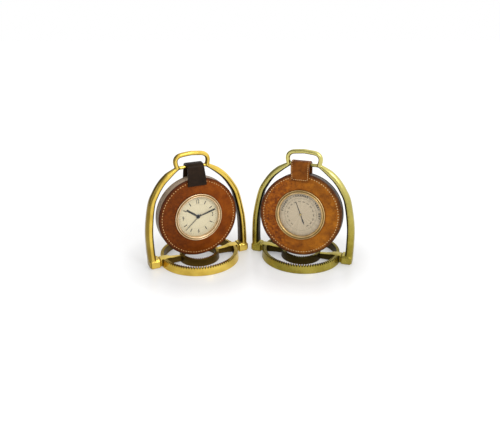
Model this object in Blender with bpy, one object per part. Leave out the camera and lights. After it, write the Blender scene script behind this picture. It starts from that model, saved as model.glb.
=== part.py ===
"""A desk clock and an aneroid barometer, a matched pair.

Each instrument is a round drum covered in leather. A strap hangs it from the crown bar of a brass
riding stirrup, which stands on its own round tread. Every stirrup is drawn in its own frame: X along
the arch, -Y towards the reader, Z up, with the floor at Z = 0. Every drum is drawn round its own
centre, with its axis along Y and its face towards -Y. Run it with Blender 4.5.
"""
import math

import bmesh
import bpy
from mathutils import Vector

mm = 0.001

# Fits
seam_gap = 0.3 * mm
running_gap = 0.3 * mm
press_gap = 0.1 * mm
overrun = 3.0 * mm
merge_distance = 0.002 * mm

# Stirrup: arch. Both stands have the same one, which clears the larger drum
side_gap = 5.7 * mm
floor_gap = 9.1 * mm
eye_rise = 20.3 * mm
bar_radius = 2.2 * mm
bar_half_length = 16.6 * mm
branch_thick_foot = 10.4 * mm
branch_thick_crown = 8.0 * mm
branch_depth_foot = 17.0 * mm
branch_depth_crown = 9.0 * mm
eye_half_width = 21.7 * mm
eye_thick = 5.8 * mm
eye_depth = 6.4 * mm
foot_outset = 5.1 * mm
foot_length = 15.6 * mm
foot_depth = 18.0 * mm
foot_height = 12.0 * mm
foot_round = 1.6 * mm
# How far a bar's section goes from round to square, in full and at the eye
bar_squareness_share = 0.6
eye_fullness_share = 0.5

# Stirrup: tread
ring_inset = 0.6 * mm
ring_draft = 1.8 * mm
ring_width = 4.4 * mm
ring_foot_width = 6.6 * mm
ring_notch_height = 7.9 * mm
ring_tip_height = 10.9 * mm
ring_teeth = 94
hub_ring_radius = 27.0 * mm
hub_ring_draft = 0.7 * mm
hub_ring_width = 4.0 * mm
hub_ring_foot_width = 5.2 * mm
hub_notch_height = 8.5 * mm
hub_tip_height = 10.5 * mm
hub_ring_teeth = 58
crossbar_width_foot = 12.0 * mm
crossbar_width_hub = 6.4 * mm
crossbar_top_hub = 9.0 * mm
crossbar_bottom = 1.5 * mm
crossbar_corner_share = 0.12
# Run from foot to inner ring, width and height above the inner end, each as a share
crossbar_shares = [(0.0, 1.0, 1.0), (0.35, 0.9, 1.0), (0.47, 0.4, 0.5), (0.88, 0.0, 0.0), (1.0, 0.0, 0.0)]

# Drum
case_depth = 16.5 * mm
leather_thick = 2.0 * mm
band_thick = 1.6 * mm
rear_opening_radius = 24.0 * mm
edge_round = 0.7 * mm

# Strap
strap_thick = 2.6 * mm
strap_overlap = 9.6 * mm
strap_shoulder = 1.7 * mm

# Bezel, glass and cup
bezel_rise = 2.0 * mm
bezel_lip_thick = 1.2 * mm
glass_thick = 1.2 * mm
cup_inset = 2.0 * mm
cup_wall = 1.0 * mm
dial_depth = 2.9 * mm
dial_thick = 0.5 * mm
ledge_width = 2.4 * mm
ledge_thick = 0.8 * mm
cover_recess = 0.4 * mm

# Movement case, which both instruments have room for
movement_depth = 7.5 * mm
movement_wall = 0.8 * mm

# Gear teeth, as shares of their module
tip_height_share = 0.7
root_depth_share = 1.1
# and of their pitch
tip_width_share = 0.24
root_width_share = 0.48

# Clock movement
movement_half_size = 19.0 * mm
movement_round = 3.0 * mm
stem_radius = 2.8 * mm
motion_centre_distance = 6.0 * mm
cannon_teeth = 8
motion_wheel_teeth = 24
motion_pinion_teeth = 8
hour_wheel_teeth = 32
train_centre_distance = 5.9 * mm
rotor_centre_distance = 5.6 * mm
seconds_wheel_teeth = 30
fifth_pinion_teeth = 6
fifth_wheel_teeth = 36
rotor_pinion_teeth = 6
wheel_thick = 0.6 * mm
arbor_radius = 0.45 * mm
seconds_arbor_radius = 0.35 * mm
tube_wall = 0.35 * mm
magnet_radius = 2.4 * mm
magnet_thick = 1.0 * mm
cell_radius = 5.8 * mm
cell_thick = 3.1 * mm
contact_thick = 0.3 * mm
contact_width = 4.0 * mm
board_size = 10.5 * mm
board_thick = 0.6 * mm
stator_thick = 0.6 * mm
stator_length = 9.6 * mm
stator_width = 8.8 * mm
coil_radius = 2.2 * mm
coil_length = 12.0 * mm
coil_flange = 0.8 * mm
knob_radius = 4.2 * mm
knob_flutes = 18
knob_flute_depth = 0.35 * mm

# Clock hands
hand_thick = 0.25 * mm
hand_gap = 0.35 * mm
hand_boss_width = 0.95 * mm
hand_waist_share = 0.45
hour_hand_length = 19.1 * mm
hour_hand_width = 2.6 * mm
minute_hand_length = 24.7 * mm
minute_hand_width = 2.3 * mm
seconds_hand_length = 24.3 * mm
seconds_hand_width = 0.5 * mm
seconds_boss_radius = 1.3 * mm
hour_widest_share = 0.70
minute_widest_share = 0.78
seconds_widest_share = 0.96
shown_hour_turn = math.radians(306.1)
shown_minute_turn = math.radians(73.2)
shown_seconds_turn = math.radians(228.0)

# Barometer movement
capsule_radius = 11.0 * mm
capsule_thick = 2.3 * mm
capsule_waves = 3
capsule_wave_height = 0.35 * mm
stud_radius = 1.5 * mm
stud_height = 0.7 * mm
spring_half_span = 16.0 * mm
spring_width = 7.0 * mm
spring_thick = 0.5 * mm
spring_leg = 2.4 * mm
finger_width = 2.4 * mm
finger_reach = 12.0 * mm
rocker_height = -21.0 * mm
rocker_radius = 0.8 * mm
rocker_half_length = 9.0 * mm
rocker_arm_width = 1.6 * mm
rocker_arm_share = 0.6
post_size = 3.0 * mm
sector_centre_distance = 16.25 * mm
sector_full_teeth = 120
sector_teeth = 11
sector_thick = 0.6 * mm
sector_hub_radius = 1.6 * mm
sector_arm_width = 1.4 * mm
crank_offset = 0.7 * mm
pinion_teeth = 10
pointer_arbor_radius = 0.45 * mm
top_plate_width = 11.0 * mm
top_plate_thick = 0.6 * mm
pillar_radius = 1.3 * mm
hairspring_turns = 3
hairspring_inner_radius = 1.7 * mm
hairspring_pitch = 0.75 * mm
hairspring_thick = 0.2 * mm
hairspring_height = 0.5 * mm
adjuster_drop = 13.1 * mm
adjuster_radius = 2.2 * mm
adjuster_slot = 0.7 * mm
adjuster_hole_radius = 4.0 * mm
pointer_tip = 17.8 * mm
pointer_tail = 14.7 * mm
pointer_width = 0.9 * mm
pointer_tail_width = 1.6 * mm
pointer_boss_radius = 1.5 * mm
spear_start_share = 0.25
spear_widest_share = 0.72
pointer_from_top = math.radians(-24.0)

# The two stands: what differs between them, and where each stands
clock = {
    "name": "clock",
    "side": -1,
    "side_step": -1.2 * mm,
    "back_step": -19.6 * mm,
    "yaw": math.radians(25.4),
    "lean_share": -0.034,
    "eye_shift": -0.6 * mm,
    "case_radius": 53.4 * mm,
    "bezel_radius": 32.1 * mm,
    "bezel_width": 4.4 * mm,
    "bar_to_drum": 13.8 * mm,
    "drum_shift": -1.5 * mm,
    "strap_widths": (25.4 * mm, 21.8 * mm),
    "strap_shifts": (-1.0 * mm, -1.3 * mm),
    "tilt": 0.0,
    "brass": "bright_brass",
    "face": "red_brown_leather",
    "strap": "black_brown_leather",
    "rim": "rose_brass",
}
barometer = {
    "name": "barometer",
    "side": 1,
    "side_step": 0.0 * mm,
    "back_step": -13.5 * mm,
    "yaw": math.radians(-19.4),
    "lean_share": 0.0,
    "eye_shift": -0.9 * mm,
    "case_radius": 54.1 * mm,
    "bezel_radius": 32.9 * mm,
    "bezel_width": 5.4 * mm,
    "bar_to_drum": 10.9 * mm,
    "drum_shift": 0.5 * mm,
    "strap_widths": (23.4 * mm, 24.6 * mm),
    "strap_shifts": (-2.9 * mm, -4.4 * mm),
    "tilt": math.radians(-8.0),
    "brass": "aged_brass",
    "face": "tan_leather",
    "strap": "tan_leather",
    "rim": "pale_brass",
}

# How finely round things are cut
large_steps = 36
inner_steps = 24
medium_steps = 18
small_steps = 10

finishes = {
    "bright_brass": ((0.83, 0.60, 0.16), 0.22, 1.0),
    "aged_brass": ((0.55, 0.44, 0.13), 0.35, 1.0),
    "rose_brass": ((0.87, 0.62, 0.38), 0.25, 1.0),
    "pale_brass": ((0.72, 0.60, 0.36), 0.30, 1.0),
    "red_brown_leather": ((0.30, 0.08, 0.02), 0.45, 0.0),
    "tan_leather": ((0.50, 0.20, 0.05), 0.50, 0.0),
    "black_brown_leather": ((0.035, 0.018, 0.014), 0.40, 0.0),
    "dark_brown_leather": ((0.09, 0.045, 0.035), 0.45, 0.0),
    "wood": ((0.45, 0.30, 0.16), 0.70, 0.0),
    "glass": ((0.95, 0.96, 0.95), 0.05, 0.0),
    "cream_dial": ((0.86, 0.79, 0.60), 0.55, 0.0),
    "silver_dial": ((0.68, 0.63, 0.53), 0.45, 0.3),
    "navy_steel": ((0.02, 0.03, 0.05), 0.30, 0.6),
    "steel": ((0.55, 0.55, 0.56), 0.30, 1.0),
    "white_plastic": ((0.80, 0.80, 0.78), 0.45, 0.0),
    "black_plastic": ((0.03, 0.03, 0.03), 0.45, 0.0),
    "green_board": ((0.05, 0.25, 0.10), 0.50, 0.0),
    "copper": ((0.72, 0.35, 0.18), 0.35, 1.0),
}


# Objects and materials

def clear_scene():
    for thing in list(bpy.data.objects):
        bpy.data.objects.remove(thing, do_unlink=True)


def finish_material(name, finish):
    colour, roughness, metallic = finishes[finish]
    material = bpy.data.materials.new(name)
    material.use_nodes = True
    shader = material.node_tree.nodes["Principled BSDF"]
    shader.inputs["Base Color"].default_value = (*colour, 1.0)
    shader.inputs["Roughness"].default_value = roughness
    shader.inputs["Metallic"].default_value = metallic
    return material


def empty(name, parent=None, location=(0.0, 0.0, 0.0), rotation=(0.0, 0.0, 0.0)):
    thing = bpy.data.objects.new(name, None)
    bpy.context.scene.collection.objects.link(thing)
    thing.parent = parent
    thing.location = location
    thing.rotation_euler = rotation
    return thing


def solid(name, shape, parent, finish=None, location=(0.0, 0.0, 0.0), rotation=(0.0, 0.0, 0.0)):
    """Turns a bmesh into an object. One without a finish is a tool, which stays out of the model."""
    bmesh.ops.remove_doubles(shape, verts=shape.verts, dist=merge_distance)
    bmesh.ops.recalc_face_normals(shape, faces=shape.faces)
    mesh = bpy.data.meshes.new(name)
    shape.to_mesh(mesh)
    shape.free()
    mesh.shade_smooth()
    mesh.set_sharp_from_angle(angle=math.radians(35))
    thing = bpy.data.objects.new(name, mesh)
    bpy.context.scene.collection.objects.link(thing)
    thing.parent = parent
    thing.location = location
    thing.rotation_euler = rotation
    if finish is None:
        thing.hide_render = True
        thing.display_type = "WIRE"
    else:
        mesh.materials.append(finish_material(name, finish))
    return thing


def boolean(thing, tool, operation):
    change = thing.modifiers.new(operation.lower() + "_" + tool.name, "BOOLEAN")
    change.operation = operation
    change.solver = "EXACT"
    change.object = tool


# Shapes

def skin(shape, loops, closed=False):
    """Joins rings of vertices with quads, and caps the two ends of an open row of rings."""
    count = len(loops)
    for index in range(count if closed else count - 1):
        near = loops[index]
        far = loops[(index + 1) % count]
        size = len(near)
        for corner in range(size):
            after = (corner + 1) % size
            shape.faces.new((near[corner], near[after], far[after], far[corner]))
    if not closed:
        shape.faces.new(loops[0])
        shape.faces.new(loops[-1])


def lofted(rings, closed=False):
    shape = bmesh.new()
    skin(shape, [[shape.verts.new(point) for point in ring] for ring in rings], closed)
    return shape


def turned(profile, steps, closed=True):
    """Spins points (radius, y) about Y. A closed profile makes a ring, an open one runs to the axis."""
    shape = bmesh.new()
    verts = [shape.verts.new((radius, y, 0.0)) for radius, y in profile]
    pairs = list(zip(verts, verts[1:]))
    if closed:
        pairs.append((verts[-1], verts[0]))
    edges = [shape.edges.new(pair) for pair in pairs]
    bmesh.ops.spin(shape, geom=verts + edges, cent=(0.0, 0.0, 0.0), axis=(0.0, 1.0, 0.0),
                   dvec=(0.0, 0.0, 0.0), angle=math.tau, steps=steps, use_merge=True)
    return shape


def ring_shape(inner, outer, front, back, steps, round_off=0.0):
    """A ring about Y. round_off takes its outer front and back edges off."""
    if round_off:
        profile = [(inner, front), (outer - round_off, front), (outer, front + round_off),
                   (outer, back - round_off), (outer - round_off, back), (inner, back)]
    else:
        profile = [(inner, front), (outer, front), (outer, back), (inner, back)]
    return turned(profile, steps)


def disc_shape(radius, front, back, steps):
    return turned([(0.0, front), (radius, front), (radius, back), (0.0, back)], steps, closed=False)


def stepped_shape(levels, steps):
    """A turned pin about Y, from (radius, front, back) stretches that follow each other."""
    profile = [(0.0, levels[0][1])]
    for radius, front, back in levels:
        profile += [(radius, front), (radius, back)]
    profile.append((0.0, levels[-1][2]))
    return turned(profile, steps, closed=False)


def plate_shape(outline, front, back):
    """A flat plate from an outline of (x, z) points, between two depths y."""
    return lofted([[(x, front, z) for x, z in outline], [(x, back, z) for x, z in outline]])


def box_shape(low, high, round_off=0.0):
    shape = bmesh.new()
    bmesh.ops.create_cube(shape, size=1.0)
    size = [high[axis] - low[axis] for axis in range(3)]
    middle = [(high[axis] + low[axis]) / 2 for axis in range(3)]
    bmesh.ops.scale(shape, vec=size, verts=shape.verts)
    bmesh.ops.translate(shape, vec=middle, verts=shape.verts)
    if round_off:
        bmesh.ops.bevel(shape, geom=shape.edges[:], offset=round_off, segments=1, affect="EDGES")
    return shape


def circle_points(radius, steps, start=0.0):
    """Points (x, z) round Y, clockwise as seen from the front, from straight up."""
    angles = [start + math.tau * step / steps for step in range(steps)]
    return [(radius * math.sin(angle), radius * math.cos(angle)) for angle in angles]


def smooth_curve(points, steps):
    """A Catmull-Rom curve through 2D points, with steps stations between each pair."""
    first = [2 * points[0][k] - points[1][k] for k in range(2)]
    last = [2 * points[-1][k] - points[-2][k] for k in range(2)]
    held = [first, *points, last]
    curve = []
    for index in range(1, len(held) - 2):
        before, start, end, after = (Vector(held[index + k]) for k in (-1, 0, 1, 2))
        for step in range(steps):
            t = step / steps
            curve.append(0.5 * (2 * start + (end - before) * t
                                + (2 * before - 5 * start + 4 * end - after) * t ** 2
                                + (3 * start - before - 3 * end + after) * t ** 3))
    curve.append(Vector(points[-1]))
    return curve


def section(thick, depth, fullness, count=8):
    """Points (across, y) of a bar. Fullness 0 is round, 1 has flat sides and rounded corners."""
    power = 1 - bar_squareness_share * fullness
    points = []
    for index in range(count):
        angle = math.tau * (index + 0.5) / count
        across = math.cos(angle)
        along = math.sin(angle)
        across = math.copysign(abs(across) ** power, across)
        along = math.copysign(abs(along) ** power, along)
        points.append((across * thick / 2, along * depth / 2))
    return points


def swept(path, sections):
    """Sweeps bar sections along a path of (x, z) points. The sections' outer side is on its left."""
    rings = []
    for index, point in enumerate(path):
        before = path[max(index - 1, 0)]
        after = path[min(index + 1, len(path) - 1)]
        along = (after - before).normalized()
        outward = Vector((-along[1], along[0]))
        rings.append([(point[0] + across * outward[0], y, point[1] + across * outward[1])
                      for across, y in sections[index]])
    return lofted(rings)


# Stirrup

def drum_drop(stand):
    """From the crown bar down to the drum's centre."""
    return stand["bar_to_drum"] + stand["case_radius"]


def bar_height():
    return max(drum_drop(stand) + stand["case_radius"] for stand in (clock, barometer)) + floor_gap


def branch_half_span():
    return max(clock["case_radius"], barometer["case_radius"]) + side_gap + branch_thick_foot / 2


def foot_half_span():
    return branch_half_span() + foot_outset


def foot_inner():
    """Where the crossbars meet the feet."""
    return foot_half_span() - foot_length - seam_gap


def leaned(stand, curve):
    """Shifts a path sideways with its height, as the casting leans."""
    return [Vector((point[0] + stand["lean_share"] * point[1], point[1])) for point in curve]


def arch_path():
    """One branch's centre line from its foot to the crown bar, as (x, z) points."""
    span = branch_half_span()
    height = bar_height()
    branch_shares = [(1.0, 0.03), (1.008, 0.20), (0.99, 0.41), (0.897, 0.655), (0.79, 0.77),
                     (0.668, 0.858), (0.54, 0.92), (0.42, 0.962)]
    points = [(across * span, up * height) for across, up in branch_shares]
    rise = height - points[-1][1]
    points.append((bar_half_length + 2 * rise / 3, height - rise / 8))
    points.append((bar_half_length, height))
    return points


def arch_shape(stand):
    half = smooth_curve(arch_path(), 2)
    path = [Vector((-x, z)) for x, z in half]
    path += [Vector((x, z)) for x, z in reversed(half)]
    height = bar_height()
    sections = []
    for x, z in path:
        rise = z / height
        thick = branch_thick_foot + (branch_thick_crown - branch_thick_foot) * rise ** 1.5
        depth = branch_depth_foot + (branch_depth_crown - branch_depth_foot) * rise ** 0.8
        fade = min(max((abs(x) - bar_half_length) / bar_half_length, 0.0), 1.0)
        thick = 2 * bar_radius + (thick - 2 * bar_radius) * fade
        depth = 2 * bar_radius + (depth - 2 * bar_radius) * fade
        sections.append(section(thick, depth, fade))
    return swept(leaned(stand, path), sections)


def eye_shape(stand):
    """The loop above the crown bar that the stirrup leather would pass through."""
    rise = eye_rise - eye_thick / 2
    eye_shares = [(0.90, -0.07), (0.985, 0.33), (0.97, 0.60), (0.85, 0.80), (0.62, 0.92), (0.0, 1.0)]
    half = smooth_curve([(across * eye_half_width, bar_height() + up * rise)
                         for across, up in eye_shares], 2)
    shift = stand["eye_shift"]
    path = [Vector((shift - x, z)) for x, z in half]
    path += [Vector((shift + x, z)) for x, z in reversed(half[:-1])]
    eye_section = section(eye_thick, eye_depth, eye_fullness_share)
    return swept(leaned(stand, path), [eye_section] * len(path))


def foot_shape(side):
    outer = side * foot_half_span()
    inner = side * (foot_half_span() - foot_length)
    low = (min(outer, inner), -foot_depth / 2, 0.0)
    high = (max(outer, inner), foot_depth / 2, foot_height)
    return box_shape(low, high, foot_round)


def toothed_ring(radius, draft, width, foot_width, notch, tip, teeth):
    """A tapered ring about Z whose top edge is cut into V teeth."""
    shape = bmesh.new()

    def edge_loop(r, z, share):
        angles = [math.tau * (tooth + share) / teeth for tooth in range(teeth)]
        return [shape.verts.new((r * math.cos(angle), r * math.sin(angle), z)) for angle in angles]

    top_outer = radius - draft
    top_inner = top_outer - width
    feet = edge_loop(radius, 0.0, 0.0), edge_loop(radius - foot_width, 0.0, 0.0)
    tips = edge_loop(top_outer, tip, 0.0), edge_loop(top_inner, tip, 0.0)
    notches = edge_loop(top_outer, notch, 0.5), edge_loop(top_inner, notch, 0.5)
    for tooth in range(teeth):
        after = (tooth + 1) % teeth
        shape.faces.new((feet[0][tooth], feet[0][after], feet[1][after], feet[1][tooth]))
        for wall in range(2):
            shape.faces.new((feet[wall][tooth], feet[wall][after], tips[wall][after],
                             notches[wall][tooth], tips[wall][tooth]))
        for near, far in ((tooth, notches), (after, notches)):
            shape.faces.new((tips[0][near], tips[1][near], far[1][tooth], far[0][tooth]))
    return shape


def crossbar_shape(side):
    """The bar from a foot, over the outer ring, to the inner ring."""
    start = foot_inner()
    end = hub_ring_radius - hub_ring_foot_width / 2
    drop = ring_tip_height + seam_gap - crossbar_top_hub
    spread = crossbar_width_foot - crossbar_width_hub
    rings = []
    for run_share, width_share, rise_share in crossbar_shares:
        x = start + (end - start) * run_share
        width = crossbar_width_hub + spread * width_share
        top = crossbar_top_hub + drop * rise_share
        corner = (top - crossbar_bottom) * crossbar_corner_share
        outline = [(-width / 2, crossbar_bottom), (width / 2, crossbar_bottom),
                   (width / 2, top - corner), (width / 2 - corner, top),
                   (-width / 2 + corner, top), (-width / 2, top - corner)]
        rings.append([(side * x, y, z) for y, z in outline])
    return lofted(rings)


def build_stirrup(stand, base):
    name = stand["name"]
    arch = solid(name + "_arch", arch_shape(stand), base, stand["brass"])
    boolean(arch, solid(name + "_eye_tool", eye_shape(stand), base), "UNION")
    for side, word in ((-1, "left"), (1, "right")):
        boolean(arch, solid(name + "_foot_tool_" + word, foot_shape(side), base), "UNION")
    tread = solid(name + "_tread",
                  toothed_ring(foot_inner() - ring_inset, ring_draft, ring_width, ring_foot_width,
                               ring_notch_height, ring_tip_height, ring_teeth),
                  base, stand["brass"])
    hub = toothed_ring(hub_ring_radius, hub_ring_draft, hub_ring_width, hub_ring_foot_width,
                       hub_notch_height, hub_tip_height, hub_ring_teeth)
    boolean(tread, solid(name + "_hub_tool", hub, base), "UNION")
    for side, word in ((-1, "left"), (1, "right")):
        boolean(tread, solid(name + "_bar_tool_" + word, crossbar_shape(side), base), "UNION")


# Drum: depths along Y, from the face to the back

face = -case_depth / 2
back = case_depth / 2
core_front = face + leather_thick + seam_gap
core_back = back - leather_thick - seam_gap
bezel_back = core_front - seam_gap
bezel_front = face - bezel_rise
glass_front = bezel_front + bezel_lip_thick + seam_gap
glass_back = glass_front + glass_thick
cup_front = glass_back + seam_gap
cup_back = core_back
dial_front = face + dial_depth
dial_back = dial_front + dial_thick
movement_front = dial_back + seam_gap
movement_back = movement_front + movement_depth
cover_front = movement_back + seam_gap
cover_step = core_back
cover_back = back - cover_recess


def cup_inner(stand):
    return stand["bezel_radius"] - cup_inset - cup_wall


def strap_shape(stand):
    """The strap's band from the face, over the bar, to the back. Its width and its place across
    run from those at its ends to those at the bar."""
    inner = bar_radius + running_gap
    outer = inner + strap_thick
    near = back + seam_gap
    far = near + strap_thick
    top_of_drum = -stand["bar_to_drum"]
    end = top_of_drum - strap_overlap
    bend = top_of_drum + seam_gap
    arc = [math.pi * step / small_steps for step in range(small_steps + 1)]
    outside = [(-far, end), (-far, bend)]
    outside += [((strap_shoulder - far) * math.cos(a), outer * math.sin(a)) for a in arc]
    outside += [(far, bend), (far, end)]
    inside = [(near, end), (near, bend)]
    inside += [((near - strap_shoulder) * math.cos(a), inner * math.sin(a)) for a in arc]
    inside += [(-near, bend), (-near, end)]
    shape = bmesh.new()
    low_width, bar_width = stand["strap_widths"]
    low_shift, bar_shift = stand["strap_shifts"]
    sides = []
    for side in (-1, 1):
        loop = []
        for y, z in outside + inside:
            share = min(z / end, 1.0) if z < 0 else 0.0
            width = bar_width + (low_width - bar_width) * share
            shift = bar_shift + (low_shift - bar_shift) * share
            loop.append(shape.verts.new((shift + side * width / 2, y, z)))
        sides.append(loop)
    skin(shape, sides)
    return shape


def build_drum(stand, hang, drum):
    name = stand["name"]
    radius = stand["case_radius"]
    bezel = stand["bezel_radius"]
    cup = bezel - cup_inset
    lip = bezel - stand["bezel_width"]
    leather_hole = bezel + seam_gap
    solid(name + "_strap", strap_shape(stand), hang, stand["strap"])

    front = turned([(leather_hole, face), (radius - edge_round, face), (radius, face + edge_round),
                    (radius, face + leather_thick), (leather_hole, face + leather_thick)],
                   large_steps)
    solid(name + "_front_leather", front, drum, stand["face"])
    solid(name + "_side_band", ring_shape(radius - band_thick, radius, core_front, core_back,
                                          large_steps), drum, "dark_brown_leather")
    rear = turned([(rear_opening_radius, back - leather_thick), (radius, back - leather_thick),
                   (radius, back - edge_round), (radius - edge_round, back),
                   (rear_opening_radius, back)], large_steps)
    solid(name + "_rear_leather", rear, drum, "dark_brown_leather")
    solid(name + "_core", ring_shape(cup + seam_gap, radius - band_thick - seam_gap, core_front,
                                     core_back, large_steps), drum, "wood")

    inner = cup_inner(stand)
    ledge = inner - ledge_width
    cup_profile = [(cup, cup_front), (cup, cup_back), (inner, cup_back),
                   (inner, movement_front + ledge_thick), (ledge, movement_front + ledge_thick),
                   (ledge, movement_front), (inner, movement_front), (inner, cup_front)]
    solid(name + "_cup", turned(cup_profile, inner_steps), drum, "pale_brass")
    glass_cavity = cup + seam_gap
    crest = (bezel + lip) / 2 + edge_round
    bezel_profile = [(bezel, bezel_back), (bezel, bezel_front + edge_round),
                     (bezel - edge_round, bezel_front), (crest, bezel_front),
                     (lip, bezel_front + bezel_lip_thick), (glass_cavity, bezel_front + bezel_lip_thick),
                     (glass_cavity, bezel_back)]
    solid(name + "_bezel", turned(bezel_profile, large_steps), drum, stand["rim"])
    solid(name + "_glass", disc_shape(cup, glass_front, glass_back, inner_steps), drum, "glass")
    solid(name + "_dial_ring", ring_shape(lip, inner - seam_gap, cup_front, dial_front - seam_gap,
                                          inner_steps), drum, stand["rim"])

    cover = stepped_shape([(inner - seam_gap, cover_front, cover_step),
                           (rear_opening_radius - seam_gap, cover_step, cover_back)], inner_steps)
    return solid(name + "_rear_cover", cover, drum, stand["rim"])


def build_dial(stand, drum, finish, hole_radius):
    radius = cup_inner(stand) - seam_gap
    return solid(stand["name"] + "_dial", ring_shape(hole_radius, radius, dial_front, dial_back,
                                                     inner_steps), drum, finish)


# Gears

def tooth_outline(teeth, module, start=0.0, shown=None):
    """Points (x, z) of a gear's rim, clockwise from the front, with one tooth centred on start."""
    pitch = math.tau / teeth
    tip = (teeth / 2 + tip_height_share) * module
    root = (teeth / 2 - root_depth_share) * module
    tooth_shares = [(-root_width_share / 2, root), (-tip_width_share / 2, tip),
                    (tip_width_share / 2, tip), (root_width_share / 2, root)]
    points = []
    for tooth in range(shown or teeth):
        centre = start + pitch * tooth
        for share, radius in tooth_shares:
            angle = centre + share * pitch
            points.append((radius * math.sin(angle), radius * math.cos(angle)))
    return points


def module_for(distance, teeth, other_teeth):
    """The tooth size at which two gears mesh at this distance."""
    return 2 * distance / (teeth + other_teeth)


def geared(name, drum, place, finish, blank, gears):
    """A turned arbor with gears fused to it. gears holds (teeth, module, start, front, back)."""
    thing = solid(name, blank, drum, finish, location=place)
    for index, (teeth, module, start, front, rear) in enumerate(gears):
        tool = plate_shape(tooth_outline(teeth, module, start), front, rear)
        boolean(thing, solid(f"{name}_tool_{index}", tool, drum, location=place), "UNION")
    return thing


def meshed(heading, teeth):
    """The start of a gear that leaves a gap for a tooth coming from the given heading."""
    return heading + math.pi + math.pi / teeth


# Clock movement

def clock_levels():
    """Depths of the wheels, front to back, inside the movement case."""
    inside = movement_front + movement_wall
    hour = inside + running_gap
    motion = hour + wheel_thick + running_gap
    seconds = motion + wheel_thick + running_gap
    fifth = seconds + wheel_thick + running_gap
    magnet = fifth + wheel_thick + running_gap
    return {"inside": inside, "hour": hour, "motion": motion, "seconds": seconds, "fifth": fifth,
            "magnet": magnet, "stator": magnet + (magnet_thick - stator_thick) / 2,
            "cover": movement_back - movement_wall}


def arbor_places():
    """Where the arbors beside the centre stand, as headings from it and places in (x, z)."""
    motion = motion_centre_distance
    fifth = train_centre_distance
    rotor = rotor_centre_distance
    motion_heading = math.radians(225)
    fifth_heading = math.radians(135)
    fifth_place = (fifth * math.sin(fifth_heading), fifth * math.cos(fifth_heading))
    return {
        "motion_heading": motion_heading,
        "fifth_heading": fifth_heading,
        "motion": (motion * math.sin(motion_heading), motion * math.cos(motion_heading)),
        "fifth": fifth_place,
        "rotor": (fifth_place[0] + rotor * math.sin(fifth_heading),
                  fifth_place[1] + rotor * math.cos(fifth_heading)),
    }


def hand_depths():
    """Front and back of the hour, minute and seconds hands."""
    depths = {}
    rear = dial_front - hand_gap
    for word in ("hour", "minute", "seconds"):
        depths[word] = (rear - hand_thick, rear)
        rear -= hand_thick + hand_gap
    return depths


def centre_radii():
    """Bores and outsides of the tubes that run inside each other at the centre."""
    minute_bore = seconds_arbor_radius + running_gap
    minute_tube = minute_bore + tube_wall
    hour_bore = minute_tube + running_gap
    hour_tube = hour_bore + tube_wall
    return minute_bore, minute_tube, hour_bore, hour_tube, hour_tube + running_gap


def hand_blade(length, width, start, widest_share):
    """A tapered blade from inside the boss to a point, widest at a share of its length."""
    waist = width * hand_waist_share
    widest = length * widest_share
    return [(-waist / 2, start), (-width / 2, widest), (0.0, length), (width / 2, widest),
            (waist / 2, start)]


def build_hand(name, drum, finish, turn, depth, blade, boss, bore):
    """A flat hand that turns about the drum's axis. Its boss is ringed or, with no bore, solid."""
    front, rear = depth
    if bore:
        hub = ring_shape(bore, boss, front, rear, medium_steps)
    else:
        hub = disc_shape(boss, front, rear, medium_steps)
    thing = solid(name, hub, drum, finish, rotation=(0.0, turn, 0.0))
    tool = solid(name + "_blade_tool", plate_shape(blade, front, rear), drum,
                 rotation=(0.0, turn, 0.0))
    boolean(thing, tool, "UNION")
    return thing


def rounded_square(half, round_off):
    """Points (x, z) of a square with rounded corners, clockwise as seen from the front."""
    points = []
    for corner_x, corner_z, start in ((1, 1, 0.0), (1, -1, 0.25), (-1, -1, 0.5), (-1, 1, 0.75)):
        for step in range(4):
            angle = math.tau * (start + step / 12)
            points.append((corner_x * (half - round_off) + round_off * math.sin(angle),
                           corner_z * (half - round_off) + round_off * math.cos(angle)))
    return points


def build_movement_case(drum, places):
    *_, stem_bore = centre_radii()
    level = clock_levels()
    cover = level["cover"]
    outline = rounded_square(movement_half_size, movement_round)
    base = solid("clock_movement_base", plate_shape(outline, movement_front, cover - seam_gap),
                 drum, "white_plastic")
    room = rounded_square(movement_half_size - movement_wall, movement_round - movement_wall)
    boolean(base, solid("clock_movement_room_tool",
                        plate_shape(room, level["inside"], cover + overrun), drum), "DIFFERENCE")
    stem = ring_shape(stem_bore, stem_radius, dial_front, movement_front + movement_wall / 2,
                      medium_steps)
    boolean(base, solid("clock_stem_tool", stem, drum), "UNION")
    bore = disc_shape(stem_bore, dial_front - overrun, level["inside"] + movement_wall, medium_steps)
    boolean(base, solid("clock_stem_bore_tool", bore, drum), "DIFFERENCE")

    x, z = places["motion"]
    lid = solid("clock_movement_cover", plate_shape(outline, cover, movement_back), drum,
                "black_plastic")
    hole = disc_shape(arbor_radius + running_gap, cover - overrun, movement_back + overrun,
                      small_steps)
    boolean(lid, solid("clock_knob_hole_tool", hole, drum, location=(x, 0.0, z)), "DIFFERENCE")


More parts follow.
